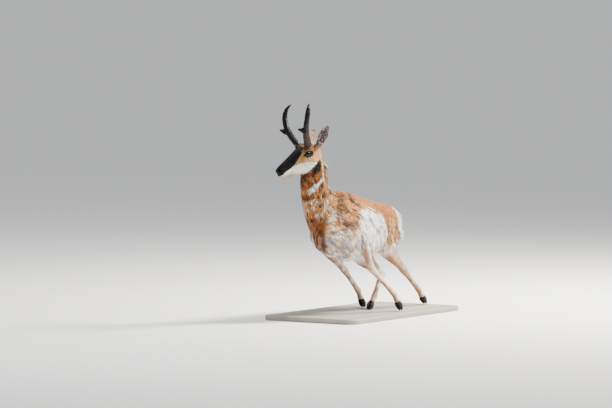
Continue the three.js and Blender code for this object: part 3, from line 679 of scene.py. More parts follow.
# The upper edge of the white flank: its height on the side at places along the trunk
FLANK_EDGE = np.array([
    [20, 0.0], [32, 0.25], [50, 0.42], [120, 0.52], [236, 0.47], [290, 0.34], [318, 0.0], [334, -0.5],
])


def hanging(at):
    """Where the coat of the side hangs down instead of lying back, from 0 to 1"""
    return step(0.75, 0.2, at.high) * step(0, 90, at.trunk[:, 1])


def streaks(at, seed, fineness=1.0):
    """Noise drawn out along the lie of the trunk's coat"""
    left, back, up = at.trunk.T
    total = np.zeros(len(left))
    hang = hanging(at)
    for slope, share in ((0.4, 1 - hang), (1.6, hang)):
        along = (back - slope * up) / math.hypot(1, slope)
        across = (slope * back + up) / math.hypot(1, slope)
        places = np.stack([left / 13, along / 56, across / 8], axis=1)
        total += share * noise(places * fineness, 1.0, seed)
    return total


def trunk_colours(at):
    left, back, up = at.trunk.T
    side, high = np.abs(left), at.high
    patch, streak, hair = at.mottle(46, 11), streaks(at, 12), streaks(at, 13, 2.2)
    rag = 0.10 * patch + 0.14 * streak + 0.08 * hair
    edge = np.interp(back, *FLANK_EDGE.T)
    flank = between(28, 322, 12, back + 70 * rag) * step(edge + 0.06, edge - 0.06, high + rag)
    chest = step(60, 20, back + 80 * rag) * step(0.16, -0.10, high + rag)
    highlight_strokes = between(-60, 60, 20, back) * between(-0.1, 0.4, 0.1, high) * step(0.1, 0.4, streaks(at, 20))
    collar = hill(back, -142, 40) * between(0.15, 0.85, 0.15, high) * step(25, 45, side)
    breast = step(-112, -150, back + 0.4 * side) * step(64, 40, np.abs(left + 24))
    ragged = streaks(at, 18) + 0.5 * patch
    dark = between(-120, 76, 26, back) * between(0.08, 0.95, 0.12, high) * step(-0.16, 0.06, ragged)
    dark = np.maximum(dark, hill(back, -82, 26) * hill(high, 0.76, 0.2) * step(-0.6, 0.0, streak))
    fold_shadow = hill(high - 0.0016 * (back + 80), 0.02, 0.09) * between(-170, 40, 30, back)
    crease = hill(back + 0.25 * up, -8, 14) * between(-0.65, -0.05, 0.1, high)
    haunch = between(330, 540, 14, back) * between(-0.9, 0.3, 0.15, high)
    start = 504 + 26 * step(0.2, -0.4, high) + 66 * step(40, 16, side + 12 * patch)
    rump = step(start, start + 14, back + 60 * rag)
    return painted(len(back), "tan", [
        ("rust", 0.6 * step(0.5, 0.95, high) + 0.25 * patch),
        ("sand", 0.6 * step(0.0, 0.6, streak + 0.4 * hair) * step(0.98, 0.5, high)),
        ("white", flank),
        # Painted shade between the white flank's hanging locks, in blue-grey and grey streaks
        ("white_in_shade", 0.9 * flank * step(0.0, 0.5, 0.7 * patch + 0.9 * streak)),
        ("grey", 0.6 * flank * step(0.25, 0.6, hair + 0.5 * streak)),
        ("white", 0.95 * step(-0.56, -0.70, high + 0.6 * rag)),
        # Shoulder and chest: cream hair, painted shade in blue-grey and grey on the chest's lower front,
        # painted highlight in pale strokes, painted shadow along a fold and in the crease behind the
        # foreleg, and dark ragged streaks, partly dark hair and partly painted shadow between locks
        ("cream", 0.85 * chest),
        ("white", 0.8 * chest * step(-0.1, 0.35, at.mottle(38, 15))),
        # Painted shade on the chest's lower front: blue-grey and grey over the cream
        ("white_in_shade", 0.85 * chest * step(-0.2, 0.35, at.mottle(30, 16))),
        ("grey", 0.7 * chest * step(-0.1, 0.4, streak + 0.5 * patch)),
        # Painted highlight: pale cream strokes along the shoulder's locks
        ("cream", 0.8 * highlight_strokes),
        ("white", 0.8 * collar * step(-0.5, 0.1, patch + streak)),
        ("rust", 0.75 * breast),
        ("umber", 0.85 * breast * step(-0.2, 0.3, at.mottle(13, 17, 0.35))),
        # Dark ragged streaks on the shoulder: partly dark hair, partly painted shadow in the gaps between
        # locks
        ("umber", 0.92 * dark),
        # Painted shadow: brown along a fold on the side of the chest
        ("brown", 0.8 * fold_shadow * step(-0.35, 0.3, at.mottle(24, 19))),
        ("umber", 0.9 * hill(back, -157, 15) * hill(high, 0.11, 0.1) * (left > 0)),
        # Painted shade: brown in the crease behind the foreleg
        ("brown", 0.6 * crease * step(-0.3, 0.4, streak)),
        # Haunch and rump
        ("sand", 0.4 * haunch),
        ("cream", 0.9 * haunch * step(0.0, 0.4, streak + 0.6 * hair)),
        ("brown", 0.8 * haunch * step(0.05, 0.35, streaks(at, 14, 1.4))),
        ("white", rump),
        # Painted shade between the rump's white locks, in blue-grey
        ("white_in_shade", 0.5 * rump * step(0.1, 0.6, hair + 0.5 * patch)),
    ])


def neck_colours(at):
    t, s = at.neck, np.sin(at.neck_round)
    patch, fine = at.mottle(34, 21), at.mottle(8, 22, 0.5)
    rag = 0.022 * patch + 0.016 * fine
    throat = step(0.55, 0.2, s + 3 * rag) * step(0.55, 0.6, t)
    shield = step(0.50, 0.46, t - 0.05 * (s + 1) + rag) * step(0.5, 0.2, s + 4 * rag)
    centre = 0.565 + 0.062 * (s + 1)
    band = between(-0.085, -0.028, 0.014, t - centre + rag) * step(0.5, 0.2, s)
    crescent = between(-0.019, 0.019, 0.007, t - centre + 0.4 * rag)
    crescent *= step(0.66, 0.5, s) * step(-1.0, -0.8, s)
    nape = step(0.42, 0.68, s + 3 * rag)
    fleck = step(0.0, 0.35, at.mottle(13, 24, 0.4)) * step(0.6, 0.9, s)
    return painted(len(t), "tan", [
        ("rust", 0.5 * step(0.0, 0.5, patch)),
        ("rust", 0.8 * throat),
        ("umber", 0.9 * throat * step(-0.25, 0.3, fine + 0.6 * patch + 2.5 * (t - 0.66))),
        ("sand", 0.7 * shield),
        ("white", 0.75 * shield * step(0.1, 0.5, fine + 0.5 * patch)),
        ("rust", 0.75 * shield * step(-0.1, 0.4, at.mottle(17, 25, 0.6))),
        ("brown", 0.7 * shield * step(0.15, 0.5, at.mottle(12, 26, 0.5))),
        ("rust", 0.8 * shield * step(-0.62, -0.92, s) * step(0.46, 0.3, t)),
        ("umber", 0.9 * shield * step(0.38, 0.55, at.mottle(13, 23, 0.45))),
        ("umber", 0.85 * band * step(-0.4, 0.1, fine + patch)),
        ("white", crescent),
        # Painted shade on the white crescent, in blue-grey mottles
        ("white_in_shade", 0.4 * crescent * step(-0.2, 0.5, patch)),
        ("sand", 0.7 * nape),
        ("cream", 0.75 * nape * step(-0.15, 0.4, fine + patch)),
        ("umber", 0.85 * fleck * step(0.2, 0.35, t)),
    ])


def cheek_patch(at):
    """The buck's dark patch below the ear, along the back of the jaw"""
    left, back, up = at.head.T
    along = (back - 30) * 0.89 + (up + 94) * 0.45
    across = (up + 94) * 0.89 - (back - 30) * 0.45
    ragged = 0.10 * at.mottle(14, 33)
    return step(1.12, 0.88, np.hypot(along / 43, across / 20) + ragged) * step(8, 22, np.abs(left))


# The lower edge of the dark mask and the upper edge of the white cheek on the side of the head
MASK_EDGE = np.array([
    [-210, -30], [-172, -20], [-120, -19], [-95, -10], [-75, 1], [-45, 19], [-11, 37], [10, 44],
])
CHEEK_EDGE = np.array([
    [-210, -30], [-120, -19], [-98, -19], [-66, -25], [-18, -39], [9, -58], [44, -80], [70, -90],
])


def head_colours(at):
    left, back, up = at.head.T
    side = np.abs(left)
    fine, patch = at.mottle(7, 31), at.mottle(18, 32)
    rag = 1.6 * patch + 1.2 * fine
    white = step(3, -3, up - np.interp(back, *CHEEK_EDGE.T) + rag) * step(86, 70, back + rag)
    under = step(26, 12, side) * step(-0.2, -0.7, (at.normals @ HEAD_TURN)[:, 2])
    to_eye = at.from_eye() - [0, 2, -2]
    eye = np.hypot((to_eye[:, 1] - 0.35 * to_eye[:, 2]) / 31, (to_eye[:, 2] + 0.30 * to_eye[:, 1]) / 19)
    mask = step(-3, 3, up - np.interp(back, *MASK_EDGE.T) + rag) * step(14, 2, back + 0.2 * side)
    forehead = step(40, 26, back + rag) * step(46, 34, side)
    mask = np.maximum(mask * step(-16, -34, back), np.maximum(mask, 0.9 * step(0, 12, back)) * forehead)
    horn = np.hypot(side - HORN_BASE[0], back - HORN_BASE[1])
    nose = step(-186, -196, back + 0.25 * (up - 4)) * step(-32, -26, up)
    mouth = -33 - 14 * np.clip((back + 209) / 85, 0, 1) ** 0.62
    below = step(-3, -9, up - mouth) * step(-90, -150, back)
    return painted(len(back), "sand", [
        ("tan", 0.6 * step(-30, 30, back)),
        ("white", white),
        ("sand", 0.7 * under),
        ("umber", 0.85 * hill(back, 8, 30) * hill(up, 33, 15) * step(20, 34, side)),
        ("cream", 0.5 * hill(back, 38, 11) * hill(up, 14, 7)),
        ("brown", 0.30 * step(0.0, 0.6, patch) * step(-70, -40, back)),
        ("grey", 0.5 * step(44, 60, back) * step(-60, -20, up)),
        ("mask", mask),
        ("umber", 0.9 * step(34, 25, horn) * step(28, 40, up)),
        ("mask", step(1.18, 0.92, eye + 0.03 * fine) * step(24, 36, side)),
        ("mask", cheek_patch(at)),
        ("mask", nose),
        ("umber", 0.85 * hill(up - mouth, 0, 2.2) * step(-118, -128, back)),
        ("sand", 0.75 * below),
        ("brown", 0.25 * below),
    ])


def leg_colours(at):
    fine, patch = at.mottle(13, 41), at.mottle(40, 42)
    fore = np.isin(at.region, LEGS[:2])
    hind = 1 - fore
    ahead, outer = at.leg_ahead + 0.22 * patch, at.leg_outer + 0.15 * fine
    upper = step(2.25, 1.5, at.leg)
    tan = np.where(fore, step(0.35, 0.85, ahead + 0.25 * upper), step(0.1, 0.75, 0.55 * ahead + 0.6 * outer))
    knee = hill(at.leg, 2, 0.10) + hill(at.leg, 3.05, 0.14)
    return painted(len(fine), "white", [
        ("cream", 0.35 + 0.3 * patch),
        # Painted shade on the white legs, in blue-grey mottles
        ("white_in_shade", 0.45 * step(-0.2, 0.6, patch + 0.5 * fine)),
        ("grey", 0.5 * hind * step(-0.4, 0.5, patch + outer) * step(3.6, 2.6, at.leg)),
        ("sand", 0.6 * hind * step(0.2, -0.5, outer) * upper),
        ("sand", 0.75 * tan * (0.45 + 0.55 * upper)),
        ("tan", 0.5 * step(1.9, 2.4, at.leg) * step(-0.1, 0.6, ahead + 0.5 * fine)),
        ("rust", 0.6 * step(0.72, 0.97, ahead) * step(4.1, 3.6, at.leg)),
        ("sand", 0.35 * knee),
        ("brown", 0.6 * step(3.72, 3.98, at.leg + 0.05 * patch)),
    ])


def coat_colours(at):
    """The markings, with painted shade and highlights in places, the same for the skin and the coat"""
    count, legs, ears = len(at.points), nearby_legs(at.region), np.isin(at.region, EARS)
    neck = mix(neck_colours(at), "mask", cheek_patch(at))
    ear = painted(count, "sand", [
        ("grey", np.full(count, 0.7)),
        ("brown", 0.4 * step(-0.6, 0.6, at.mottle(16, 53))),
        # Painted shade in the hollow of the ear, in blue-grey
        ("white_in_shade", 0.6 * at.in_ear * step(0.98, 0.8, at.ear)),
        ("brown", 0.75 * at.in_ear * step(-0.5, 0.3, at.mottle(8, 52))),
        ("umber", step(0.70, 0.93, at.ear + 0.03 * at.mottle(9, 51))),
    ])
    tail = painted(count, "white", [("sand", 0.35 * step(0.0, 0.5, (at.normals @ TRUNK_TURN)[:, 2]))])
    colour = trunk_colours(at)
    for over, amount in (
        (leg_colours(at), step(0.95, 1.25, at.leg) * legs),
        (neck, at.on_neck * ~legs),
        (head_colours(at), 1.0 * (at.region == HEAD)),
        (ear, 1.0 * ears),
        (tail, 1.0 * (at.region == TAIL)),
    ):
        colour = mix(colour, over, amount)
    body = (at.region != HEAD) & ~ears
    tone = 1 + 0.20 * body * streaks(at, 61) + 0.05 * at.mottle(60, 62)
    return colour * tone[:, None]


# The way the coat lies, its length, width and closeness

def coat_lie(at):
    left, back, _ = at.trunk.T
    down = 0.25 + 1.35 * hanging(at) - 0.9 * step(-0.7, -0.95, at.high)
    lie = np.stack([0.10 * np.sign(left), np.ones_like(back), -down], axis=1)
    front = step(-40, -150, back)
    lie[:, 1] -= 0.6 * front
    lie[:, 2] -= 0.9 * front
    rear = step(560, 625, back)
    lie[:, 2] -= 0.3 * rear
    lie[:, 0] += 0.5 * rear * np.sign(left)
    lie = unit(lie) @ TRUNK_TURN.T
    lie = unit(lie * (1 - at.on_neck[:, None]) - at.neck_way * at.on_neck[:, None])
    on_leg = (step(0.7, 1.2, at.leg) * nearby_legs(at.region))[:, None]
    lie = lie * (1 - on_leg) + at.leg_way * on_leg
    droop = -0.22 * step(10, -30, at.head[:, 2])
    face = np.stack([0.16 * np.sign(at.head[:, 0]), np.ones_like(back), droop], axis=1)
    lie = np.where((at.region == HEAD)[:, None], unit(face) @ HEAD_TURN.T, lie)
    for k, side in zip(EARS, (1, -1)):
        reach = HEAD_TURN @ unit(EAR_REACHES[side] * [side, 1, 1])
        lie = np.where((at.region == k)[:, None], reach, lie)
    tail = TRUNK_TURN @ unit(TAIL_TIP - TAIL_ROOT)
    return np.where((at.region == TAIL)[:, None], tail, lie)


def coat_measures(at):
    """The tufts' length and width in millimetres, their lift as a slope, and how many to a square metre"""
    left, back, _ = at.trunk.T
    flank = between(40, 400, 30, back) * between(-1.2, 0.45, 0.15, at.high)
    fringe = between(60, 400, 30, back) * between(-0.95, -0.5, 0.12, at.high)
    rump = step(515, 560, back) * step(14, 40, np.abs(left) + 0.8 * np.maximum(back - 560, 0))
    nape = at.on_neck * step(0.80, 0.97, np.sin(at.neck_round)) * between(0.27, 0.86, 0.07, at.neck)
    length = 21 + 12 * flank + 14 * fringe + 43 * rump
    length = np.where(at.on_neck > 0.5, 17, length) + 28 * nape
    lift = 0.13 + 0.06 * flank + 0.22 * fringe + 1.2 * rump + 0.65 * nape
    measures = [length, 3.5 + 1.1 * rump, lift, np.full(len(back), 60000.0)]

    # Legs, head, ears and tail have measures of their own
    head, ears = at.region == HEAD, np.isin(at.region, EARS)
    leg = [
        np.interp(at.leg, [0.8, 1.2, 1.9, 2.2, 3.0, 4.0], [20, 16, 9, 7, 7.5, 9]),
        np.interp(at.leg, [0.8, 1.2, 2.0, 4.0], [3.4, 3.0, 2.1, 2.0]),
        0.09,
        np.interp(at.leg, [0.8, 1.4, 2.0], [60000, 90000, 170000]),
    ]
    face = np.interp(at.head[:, 1], [-205, -150, -60, 60, 100], [2.8, 4.2, 6.5, 9, 14])
    for where, values in (
        (nearby_legs(at.region), leg),
        (head, [face, np.clip(face * 0.26, 0.9, 2.4), 0.05, 260000]),
        (ears, [6 + 10 * at.in_ear, 1.7, 0.10 + 0.22 * at.in_ear, 160000 - 60000 * at.in_ear]),
        (at.region == TAIL, [42, 3.6, 0.12, 90000]),
    ):
        measures = [np.where(where, own, measure) for own, measure in zip(values, measures)]

    # The nose and the rims of the eyes are bare
    nose = (at.head[:, 1] < -193) & (at.head[:, 2] > -30)
    rim = np.linalg.norm(at.from_eye(), axis=1) < EYE_RADIUS + 3.2
    measures[3] = np.where(head & (nose | rim), 0, measures[3])
    return measures


# The map for baking: an unwrap of the body in patches

PATCH_MARGIN = 0.003
PATCHES = {
    TORSO: (0, 0, 0.6, 0.5),
    NECK: (0.62, 0, 1, 0.3),
    HEAD: (0.62, 0.32, 1, 0.64),
    TAIL: (0.82, 0.86, 1, 1),
}
PATCHES.update({k: (0.62 + 0.2 * i, 0.66, 0.8 + 0.2 * i, 0.84) for i, k in enumerate(EARS)})
PATCHES.update({k: (0.15 * i, 0.52, 0.14 + 0.15 * i, 1) for i, k in enumerate(LEGS)})


def unwrap(at):
    """Each point's turn round its part, from 0 to 1, and its share of the part's length"""
    angle, share = at.round, (at.trunk[:, 1] + 210) / 880
    for where, around, along in (
        (at.region == NECK, at.neck_round, at.neck),
        (at.region == HEAD, np.arctan2(at.head[:, 2] + 25, at.head[:, 0]), (at.head[:, 1] + 215) / 330),
        (np.isin(at.region, EARS), np.arctan2(at.in_ear - 0.5, at.normals[:, 2]), at.ear),
        (nearby_legs(at.region), np.arctan2(at.leg_ahead, at.leg_outer), (at.leg - 0.4) / 3.7),
        (at.region == TAIL, at.round, (at.trunk[:, 1] - 590) / 90),
    ):
        angle = np.where(where, around, angle)
        share = np.where(where, along, share)
    return (angle / (2 * math.pi) + 0.25) % 1, np.clip(share, 0, 1)


def in_patches(turning, share, region):
    uv = np.zeros((len(turning), 2))
    for k, (x0, y0, x1, y1) in PATCHES.items():
        here = region == k
        uv[here, 0] = x0 + PATCH_MARGIN + (x1 - x0 - 2 * PATCH_MARGIN) * np.clip(turning[here], 0, 1)
        uv[here, 1] = y0 + PATCH_MARGIN + (y1 - y0 - 2 * PATCH_MARGIN) * share[here]
    return uv


# Materials

def new_material(name):
    material = bpy.data.materials.new(name)
    material.use_nodes = True
    nodes = material.node_tree.nodes
    return material, nodes, material.node_tree.links, nodes["Principled BSDF"]


def set_inputs(node, values):
    for name, value in values.items():
        node.inputs[name].default_value = value


def add_noise(nodes, links, scale, detail=4, stretch=(1, 1, 1), on_map=False):
    """Noise in the object's own space, or on its bake map"""
    place = nodes.new("ShaderNodeUVMap" if on_map else "ShaderNodeTexCoord")
    if on_map:
        place.uv_map = "OFBake"
    mapping = nodes.new("ShaderNodeMapping")
    texture = nodes.new("ShaderNodeTexNoise")
    set_inputs(mapping, {"Scale": stretch})
    set_inputs(texture, {"Scale": scale, "Detail": detail, "Roughness": 0.55})
    links.new(place.outputs["UV" if on_map else "Object"], mapping.inputs["Vector"])
    links.new(mapping.outputs["Vector"], texture.inputs["Vector"])
    return texture.outputs["Fac"]


def spread(nodes, links, factor, low, high):
    """Most of a noise's range, spread from low to high"""
    scale = nodes.new("ShaderNodeMapRange")
    set_inputs(scale, {"From Min": 0.3, "From Max": 0.7, "To Min": low, "To Max": high})
    links.new(factor, scale.inputs["Value"])
    return scale.outputs["Result"]


def ramp(nodes, links, factor, low, high, places=(0, 1)):
    """A colour between two, by a factor"""
    blend = nodes.new("ShaderNodeValToRGB")
    for element, colour, place in zip(blend.color_ramp.elements, (low, high), places):
        element.color = (*colour, 1)
        element.position = place
    links.new(factor, blend.inputs["Fac"])
    return blend.outputs["Color"]


def varied(nodes, links, colour, factor, darker, lighter):
    """The colour made darker and lighter by a factor from 0 to 1"""
    shade = spread(nodes, links, factor, darker, lighter)
    tint = nodes.new("ShaderNodeVectorMath")
    tint.operation = "SCALE"
    links.new(colour, tint.inputs[0])
    links.new(shade, tint.inputs["Scale"])
    return tint.outputs["Vector"]


def add_bump(nodes, links, shader, bumps, strength=0.6):
    """Bumps one on another, each a height and its depth in metres"""
    normal = None
    for height, depth in bumps:
        bump = nodes.new("ShaderNodeBump")
        set_inputs(bump, {"Strength": strength, "Distance": depth})
        links.new(height, bump.inputs["Height"])
        if normal:
            links.new(normal, bump.inputs["Normal"])
        normal = bump.outputs["Normal"]
    links.new(normal, shader.inputs["Normal"])


def painted_material(name, roughness, sheen, bump_scale, bump_depth, variation, combed=False):
    """A material coloured by the paint at each point. A combed one has hairs along its bake map."""
    material, nodes, links, shader = new_material(name)
    paint = nodes.new("ShaderNodeAttribute")
    paint.attribute_name = "coat"
    broad = add_noise(nodes, links, 24, 5)
    fine = add_noise(nodes, links, bump_scale, 3)
    colour = paint.outputs["Color"]
    for grain in (broad, fine):
        colour = varied(nodes, links, colour, grain, 1 - variation, 1 + variation)
    bumps = [(broad, bump_depth * 3), (fine, bump_depth)]
    if combed:
        hairs = add_noise(nodes, links, 1, 3, (620, 75, 1), on_map=True)
        colour = varied(nodes, links, colour, hairs, 0.80, 1.16)
        bumps.append((hairs, 0.0016))
    links.new(colour, shader.inputs["Base Color"])
    links.new(spread(nodes, links, fine, *roughness), shader.inputs["Roughness"])
    set_inputs(shader, {"Sheen Weight": sheen, "Sheen Roughness": 0.5, "Specular IOR Level": 0.15})
    add_bump(nodes, links, shader, bumps)
    return material


def give(piece, material, slot, *nodes):
    piece.data.materials.append(material)
    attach(piece, "root")
    if nodes:
        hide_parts(*nodes)


# Skin piece

def make_skin_piece(at, colours):
    triangles = SKIN_TRIANGLES_MADE
    turning, share = unwrap(at)
    corners = triangles.ravel()
    regions = np.repeat(at.region[triangles[:, 0]], 3)
    around = turning[corners].reshape(-1, 3)
    first = around[:, :1]
    around = around + np.round(first - around)
    uv = in_patches(around.ravel(), share[corners], regions)
    skin = new_piece("skin", SKIN_POINTS, corners, np.arange(len(triangles)) * 3, colours * 0.85, uv)
    give(skin, painted_material("hide", (0.62, 0.9), 0.03, 900, 0.0004, 0.06, combed=True), "coat", *FLESH)


# Tufts

# Two rings of three points and a tip: the places on a ring, across and out, then each step's share of the
# length and of the width, the faces, the painted shade and light at each point (darker at the root and on
# the side towards the skin, lighter outward and at the tip), and its spot on the bake map
RING = [(1.0, -0.35), (-1.0, -0.35), (0.0, 1.0)]
TUFT_STEPS = [(0.0, 0.75), (0.48, 1.0), (1.0, 0)]
TUFT_FACES = [(0, 1, 4, 3), (1, 2, 5, 4), (2, 0, 3, 5), (3, 4, 6), (4, 5, 6), (5, 3, 6), (2, 1, 0)]
TUFT_SHADE_AND_LIGHT = np.array([0.72, 0.72, 0.78, 0.97, 0.97, 1.04, 1.12])
TUFT_SPOTS = np.array([[-1, -1], [1, -1], [0, -1], [-0.8, 0.3], [0.8, 0.3], [0, 0.3], [0, 1]]) * 0.0013
TUFT_POINTS = len(TUFT_SHADE_AND_LIGHT)

SKIN_TREE = BVHTree.FromPolygons(SKIN_POINTS.tolist(), SKIN_TRIANGLES_MADE.tolist())


def on_skin(points):
    """The nearest place on the skin to each point, and the way out of it there"""
    found = [SKIN_TREE.find_nearest(p) for p in points.tolist()]
    return np.array([hit[0] for hit in found]), np.array([hit[1] for hit in found])


def laid_down(place, out):
    """The places laid on the skin, save where they stand well clear of it, and the ways out there"""
    there, facing = on_skin(place)
    off = place - there
    height = np.sum(off * facing, axis=1)
    clear = np.where(height > 0, np.maximum(np.linalg.norm(off, axis=1) - 0.005, 0), 0)
    share = step(0.001, 0.010, clear)[:, None]
    return there + unit(off) * clear[:, None], unit(facing * (1 - share) + out * share)


def tuft_points(root, normal, lie, length, width, lift, thick, sideways, bent):
    """The points of each tuft, its root sunk a little into the skin. A bent tuft follows the skin."""
    way = unit(lie + unit(np.cross(normal, lie)) * sideways[:, None])
    sunk = np.minimum(1.2 * MM, 0.1 * length)
    rings, place, out, so_far = [], root, normal, 0.0
    for t, wide in TUFT_STEPS:
        place = place + way * (length * (t - so_far))[:, None]
        so_far = t
        if bent and t > 0:
            place, out = laid_down(place, out)
            way = flat_on(way, out)
        rise = lift * t * (1 - 0.45 * t) * length + 0.3 * MM * t - sunk * (1 - t) ** 3
        middle = place + out * rise[:, None]
        across = unit(np.cross(out, way))
        for a, b in RING if wide else [(0, 0)]:
            spread_out = across * (a * wide * width / 2)[:, None] + out * (b * wide * thick / 2)[:, None]
            rings.append(middle + spread_out)
    return np.stack(rings, axis=1)


def make_tufts(name, root, normal, lie, length, width, lift, colours, uv, material, thick=0.34, bent=True):
    """Closed tufts as pieces of one name, with a tone of its own for each tuft"""
    count = len(root)
    sideways = 0.42 * noise(root / MM, 24, 81) + random.normal(0, 0.10, count)
    lift = lift * (1 + 0.6 * noise(root / MM, 17, 82))
    points = tuft_points(root, normal, lie, length, width, lift, thick * width, sideways, bent)
    sizes = np.array([len(face) for face in TUFT_FACES])
    pattern = np.concatenate(TUFT_FACES)
    tone = (1 + random.normal(0, 0.12, count))[:, None, None]
    # Each tuft's own random tone, times its painted shade and light: darker at the root and towards the
    # skin, lighter outward and at the tip
    paint = colours[:, None, :] * tone * TUFT_SHADE_AND_LIGHT[None, :, None]
    spots = uv[:, None, :] + TUFT_SPOTS[None, :, :]
    for number, first in enumerate(range(0, count, TUFTS_IN_A_PIECE)):
        here = slice(first, min(first + TUFTS_IN_A_PIECE, count))
        each = np.arange(here.stop - first)[:, None]
        corners = (pattern + TUFT_POINTS * each).ravel()
        starts = (np.cumsum(sizes) - sizes + len(pattern) * each).ravel()
        piece = new_piece(
            f"{name}_{number + 1:02d}", points[here].reshape(-1, 3), corners, starts,
            paint[here].reshape(-1, 3), spots[here].reshape(-1, 2)[corners],
        )
        give(piece, material, "coat")


def scatter(weight, count):
    """Random roots on the skin, as many to an area as the weight at its points says"""
    a, b, c = (SKIN_POINTS[SKIN_TRIANGLES_MADE[:, k]] for k in range(3))
    area = np.linalg.norm(np.cross(b - a, c - a), axis=1) / 2
    chance = area * weight[SKIN_TRIANGLES_MADE].mean(axis=1)
    total = chance.sum()
    count = int(min(count, total))
    face = np.searchsorted(np.cumsum(chance) / total, random.random(count)).clip(0, len(chance) - 1)
    u, v = random.random(count), random.random(count)
    over = u + v > 1
    u[over], v[over] = 1 - u[over], 1 - v[over]
    return SKIN_TRIANGLES_MADE[face], np.stack([1 - u - v, u, v], axis=1)


def rooted(at, field, weight, at_most):
    """Scattered roots: their places, the field's values there with its ways laid flat, and the bake map"""
    corners, shares = scatter(weight, at_most)
    root, normal, values = (
        np.einsum("nk,nkj->nj", shares, there[corners]) for there in (SKIN_POINTS, SKIN_NORMALS, field)
    )
    here = Places(root, unit(normal), at.region[corners[:, 0]])
    values[:, :3] = flat_on(values[:, :3], here.normals)
    return here, values, in_patches(*unwrap(here), here.region)


def make_coat(at):
    length, width, lift, close = coat_measures(at)
    field = np.column_stack([coat_lie(at), length, width, lift])
    field = smoothed(field, SKIN_EDGES, 10, np.where(at.region == HEAD, 0.4, 1.0))
    scale = 1
    here, values, uv = rooted(at, field, close / scale, TUFTS_AT_MOST / scale)
    length = values[:, 3] * (0.75 + 0.5 * random.random(len(uv))) * MM
    parts = [
        here.points, here.normals, values[:, :3], length, values[:, 4] * MM, values[:, 5],
        coat_colours(here), uv,
    ]
    order = np.lexsort((uv[:, 1], here.region))
    material = painted_material("coat", (0.6, 0.85), 0.04, 1400, 0.0002, 0.06)
    make_tufts("coat", *(part[order] for part in parts), material)
    make_locks(at, field, material)
    make_lashes(material)


def make_lashes(material):
    """Long dark lashes along each upper lid"""
    across = np.linspace(-0.80, 0.88, LASHES)
    raised = 0.62 * lid_line(across) + 0.03
    out = np.sqrt(np.maximum(1 - across ** 2 - raised ** 2, 0.02))
    for word, side in SIDES:
        axis, along, above = eye_axes(side)
        way = unit(np.outer(across, along) + np.outer(raised, above) + np.outer(out, axis))
        root = from_head(EYE * [side, 1, 1] + way * (EYE_RADIUS + 1.6))
        lie = unit(axis - 0.35 * above + np.outer(0.7 * across + 0.3, along))
        normal = unit(above - lie * (lie @ above)[:, None]) @ HEAD_TURN.T
        here = Places(root, normal, np.full(LASHES, HEAD))
        uv = in_patches(*unwrap(here), here.region)
        length = (8 + 4 * random.random(LASHES)) * MM
        width, lift = np.full(LASHES, 1.0 * MM), np.full(LASHES, 0.5)
        colours = np.tile(COLOURS["mask"], (LASHES, 1))
        parts = [root, normal, lie @ HEAD_TURN.T, length, width, lift, colours, uv]
        make_tufts(f"lashes_{word}", *parts, material, thick=0.5, bent=False)


def make_locks(at, field, material):
    """Broader locks over the shaggy places: flank, shoulder, breast, rump, mane and tail"""
    back, trunk = at.trunk[:, 1], at.region == TORSO
    nape = step(0.9, 0.97, np.sin(at.neck_round)) * step(0.3, 0.4, at.neck)
    shaggy = np.max([
        3500 * trunk * between(20, 540, 25, back) * step(0.6, 0.3, at.high),
        5500 * trunk * between(-140, 80, 25, back) * between(-0.6, 0.9, 0.1, at.high),
        9000 * trunk * between(60, 400, 25, back) * between(-0.95, -0.45, 0.1, at.high),
        9000 * trunk * step(525, 560, back),
        (2500 + 12000 * nape) * (at.region == NECK),
        9000 * (at.region == TAIL),
    ], axis=0)
    here, values, uv = rooted(at, field, shaggy, LOCKS_AT_MOST)
    length = values[:, 3] * (1.15 + 0.45 * random.random(len(uv))) * MM
    width = (6.5 + 4.5 * random.random(len(uv))) * MM
    colours = coat_colours(here) * (0.86 + 0.28 * random.random(len(uv)))[:, None]
    parts = [here.points, here.normals, values[:, :3], length, width, values[:, 5] * 1.1, colours, uv]
    make_tufts("locks", *parts, material, thick=0.2)


skin_places = Places(SKIN_POINTS, SKIN_NORMALS, SKIN_REGION)
make_skin_piece(skin_places, coat_colours(skin_places))
make_coat(skin_places)


# Eyes: a dark glossy ball, a little bulged at its front

def ball(across, down):
    """A ball of radius 1 round the way the eye looks, as points, corners and the starts of faces"""
    turns = np.linspace(0, 2 * math.pi, across, endpoint=False)
    falls = np.linspace(0, math.pi, down + 1)[1:-1]
    ring = np.stack([np.cos(turns), np.sin(turns), 0 * turns], axis=1)
    rings = [ring * math.sin(fall) + [0, 0, math.cos(fall)] for fall in falls]
    points = np.vstack([[[0, 0, 1]], *rings, [[0, 0, -1]]])
    faces, caps, last = [], [], len(points) - 1
    for r in range(len(falls) - 1):
        for i in range(across):
            a, b = 1 + r * across + i, 1 + r * across + (i + 1) % across
            faces.append((a, a + across, b + across, b))
    for i in range(across):
        caps.append((0, 1 + i, 1 + (i + 1) % across))
        caps.append((last, last - 1 - i, last - 1 - (i + 1) % across))
    sizes = np.array([len(face) for face in faces + caps])
    return points, np.concatenate(faces + caps), np.cumsum(sizes) - sizes


